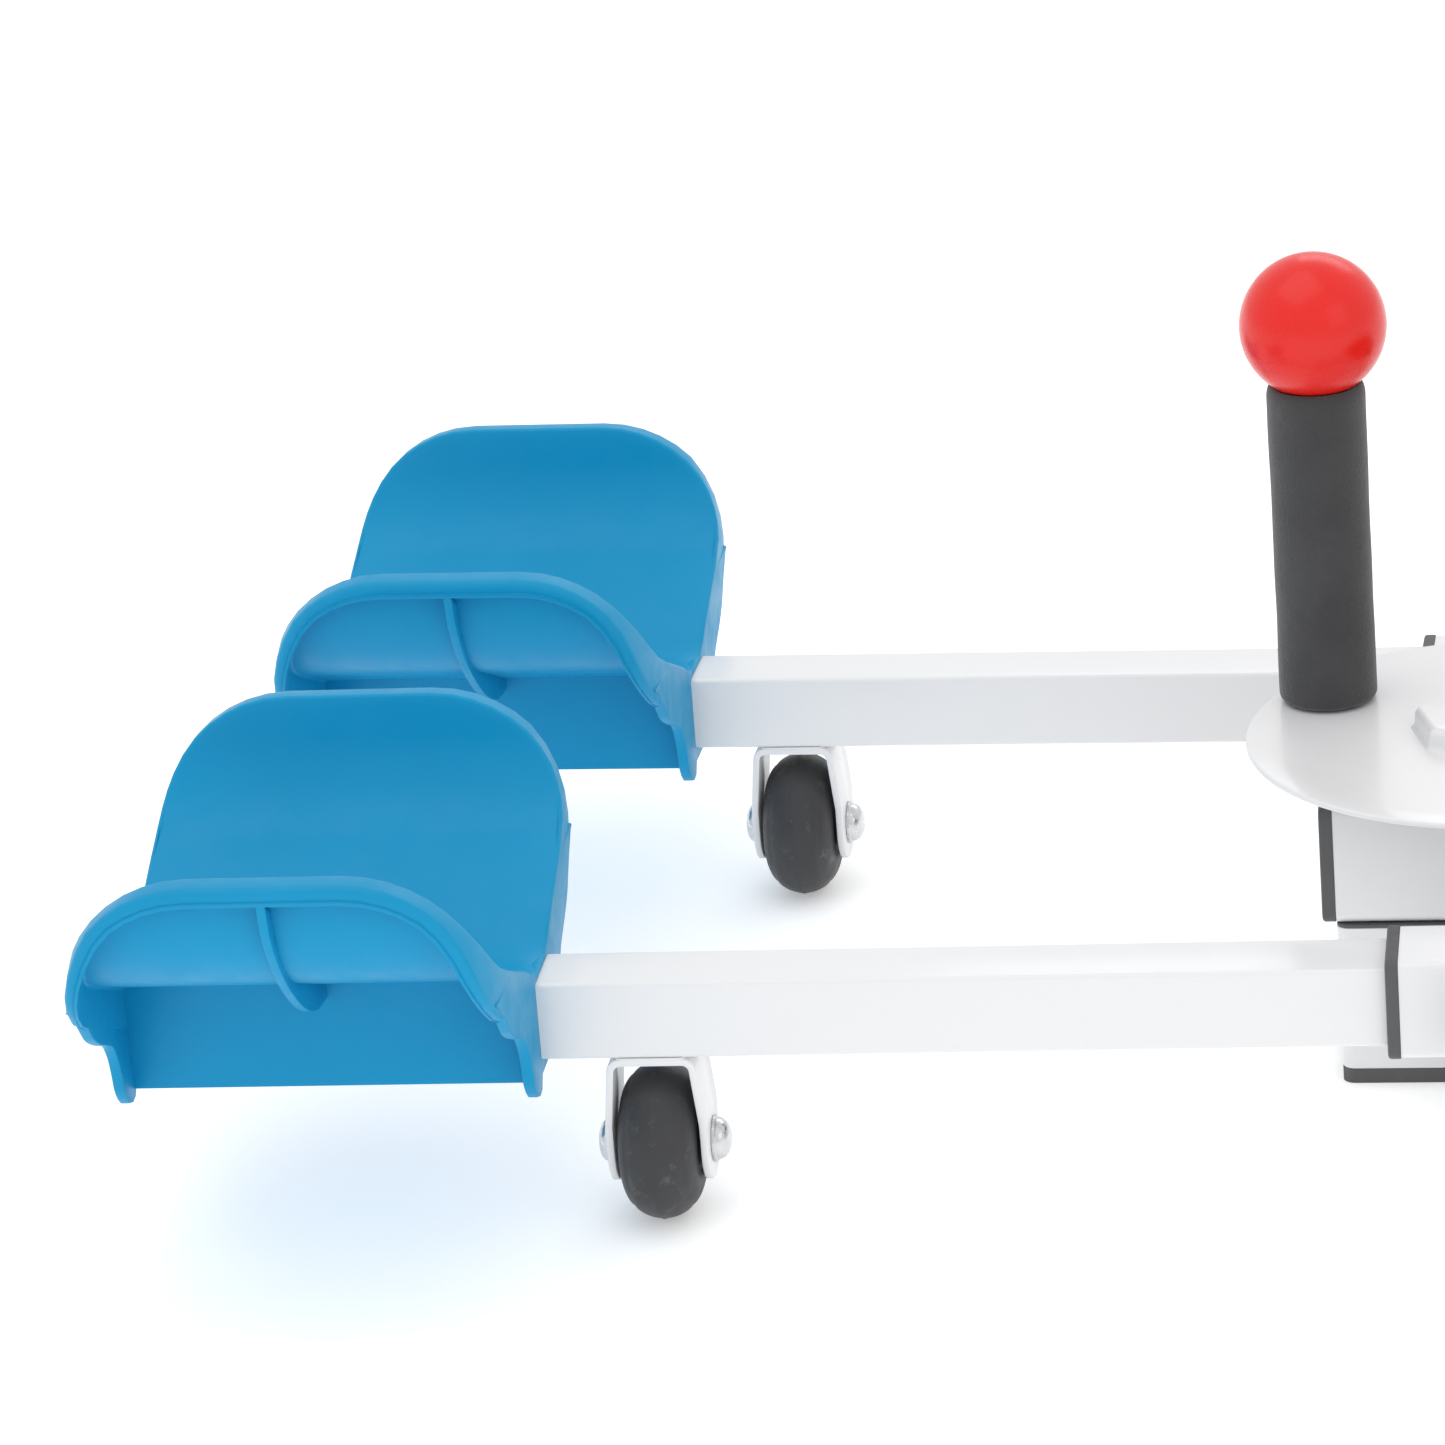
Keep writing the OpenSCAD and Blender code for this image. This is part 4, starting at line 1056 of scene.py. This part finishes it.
def sew_top(obj, low, high):
    """Keeps the cushion in its space and sews two lengthwise channels into its top."""
    mid = (low + high) / 2
    half = (high - low) / 2
    for v in obj.data.vertices:
        v.co.x = min(max(v.co.x, low.x - 0.003), high.x + 0.003)
        v.co.y = min(max(v.co.y, low.y - 0.003), high.y + 0.003)
        v.co.z = min(v.co.z, high.z + 0.008)
        if v.co.z > mid.z:
            for row in (-0.36, 0.36):
                away = abs(v.co.y - mid.y - row * half.y) / 0.0045
                fade = min(1, max(0, (half.x - abs(v.co.x - mid.x)) / 0.03))
                v.co.z -= 0.0042 * np.exp(-away ** 2) * fade


def piping():
    """A welted seam that runs round the cushion just above the board."""
    place, (long, wide, _) = seat_place("seat_pad")
    line = round_rect(long - 6, wide - 6, 26, 12)
    radius, level = 2.2, 4
    rings = []
    for i, p in enumerate(line):
        along = (line[(i + 1) % len(line)] - line[i - 1]).normalized()
        out = Vector((along.y, -along.x))
        rings.append([(p.x + out.x * radius * cos(a), p.y + out.y * radius * cos(a), level + radius * sin(a))
                      for a in (2 * pi * k / 12 for k in range(12))])
    return piece("seat_piping", loft(rings, looped=True), place, "seat_pad", 80)


def board():
    """The seat's base board, wrapped in the same vinyl."""
    place, (long, wide, tall) = seat_place("seat_board")
    mesh = slab(round_rect(long, wide, 22, 10), 0, tall, 2.5, 4)
    return piece("seat_base", mesh, place, "seat_board", 40)


# ---------- the rest of the frame keeps its own shape ----------

# How far the edges of the big plain parts are softened, in millimetres
EDGES = {"near_swing_plate": 0.8, "far_swing_plate": 0.8, "gear_case": 1.0, "case_spacer": 0.5,
         "rear_feet": 0.8, "front_post_pad": 0.2, "rear_bar_pad": 0.2}


def dress(node):
    """A CAD node as it is, with its finish, smooth curves and, on big plain parts, softened edges."""
    obj = frame["nodes"][node]
    obj.data.materials.clear()
    obj.data.materials.append(FINISHES[slot_of_node[node]])
    obj.data.shade_smooth()
    obj.data.set_sharp_from_angle(angle=radians(30))
    if node in EDGES:
        weld = obj.modifiers.new("weld", "WELD")
        weld.merge_threshold = 1e-6
        bevel = obj.modifiers.new("soft edges", "BEVEL")
        bevel.width, bevel.segments = EDGES[node] * MM, 2
        bevel.limit_method, bevel.angle_limit = "ANGLE", radians(35)
        bevel.harden_normals = True


# ---------- stage ----------

def lamp(name, at, aim, size, power, tone=(1, 1, 1)):
    data = bpy.data.lights.new(name, "AREA")
    data.shape, data.size, data.size_y = "RECTANGLE", size[0], size[1]
    data.energy, data.color = power, tone
    obj = bpy.data.objects.new(name, data)
    obj.location = at
    obj.rotation_mode = "QUATERNION"
    obj.rotation_quaternion = (Vector(aim) - Vector(at)).to_track_quat("-Z", "Y")
    bpy.context.scene.collection.objects.link(obj)


def studio():
    """A white, faintly lit floor under a white tent of light, with a large soft key above."""
    world = bpy.data.worlds.new("studio")
    world.use_nodes = True
    tent = world.node_tree.nodes["Background"]
    tent.inputs["Color"].default_value = (0.99, 0.995, 1.0, 1)
    tent.inputs["Strength"].default_value = 0.93
    bpy.context.scene.world = world
    mesh = bpy.data.meshes.new("floor")
    half = 14
    mesh.from_pydata([(-half, -half, 0), (half, -half, 0), (half, half, 0), (-half, half, 0)], [],
                     [(0, 1, 2, 3)])
    floor = bpy.data.objects.new("floor", mesh)
    bpy.context.scene.collection.objects.link(floor)
    finish = Finish("floor", (0.93, 0.93, 0.925), 0.9, specular=0.0)
    finish.shader.inputs["Emission Color"].default_value = (1, 1, 1, 1)
    finish.shader.inputs["Emission Strength"].default_value = 0.3
    mesh.materials.append(finish.material)
    floor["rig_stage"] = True
    lamp("key", (-0.8, -0.4, 3.0), (-0.1, 0, 0.1), (2.6, 2.6), 17, (1, 0.995, 0.985))
    lamp("fill", (2.0, -1.8, 1.6), (0, 0, 0.1), (1.6, 1.6), 4, (0.97, 0.985, 1))
    lamp("back", (0.4, 2.4, 1.8), (0, 0, 0.1), (2.0, 1.0), 8)
    bpy.context.scene.view_settings.view_transform = "Standard"
    bpy.context.scene.view_settings.look = "None"


make_camera()
studio()
for side in SIDES:
    cradle(side)
    wheel(side)
    fork(side)
    axle(side)
    guide_collar(side)
    clamp_knob(side)
    pivot_bolt(side)
    tube = f"{side}_leg_tube"
    square_tube(f"{side}_inner_tube", tube, leg_bar_frame(side, tube), 1.5, 1.5)
ball()
foam()
wheel_disc()
hub()
dome_nut()
for name, node, axis in (("beam_tube", "main_beam", "X"), ("post_tube", "front_post", "Z"),
                         ("foot_tube", "rear_foot_bar", "Y")):
    square_tube(name, node, end_frame(node, axis), 2.5, 4)
end_cap("beam_cap_front", "beam_front_cap", "X", 4.4, 4, -1)
end_cap("beam_cap_rear", "beam_rear_cap", "X", 4.4, 4, 1)
board()
cushion()
piping()
stood_for = {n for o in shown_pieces() for n in o.get("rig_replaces", [])}
for node in frame["nodes"]:
    if node not in stood_for:
        dress(node)
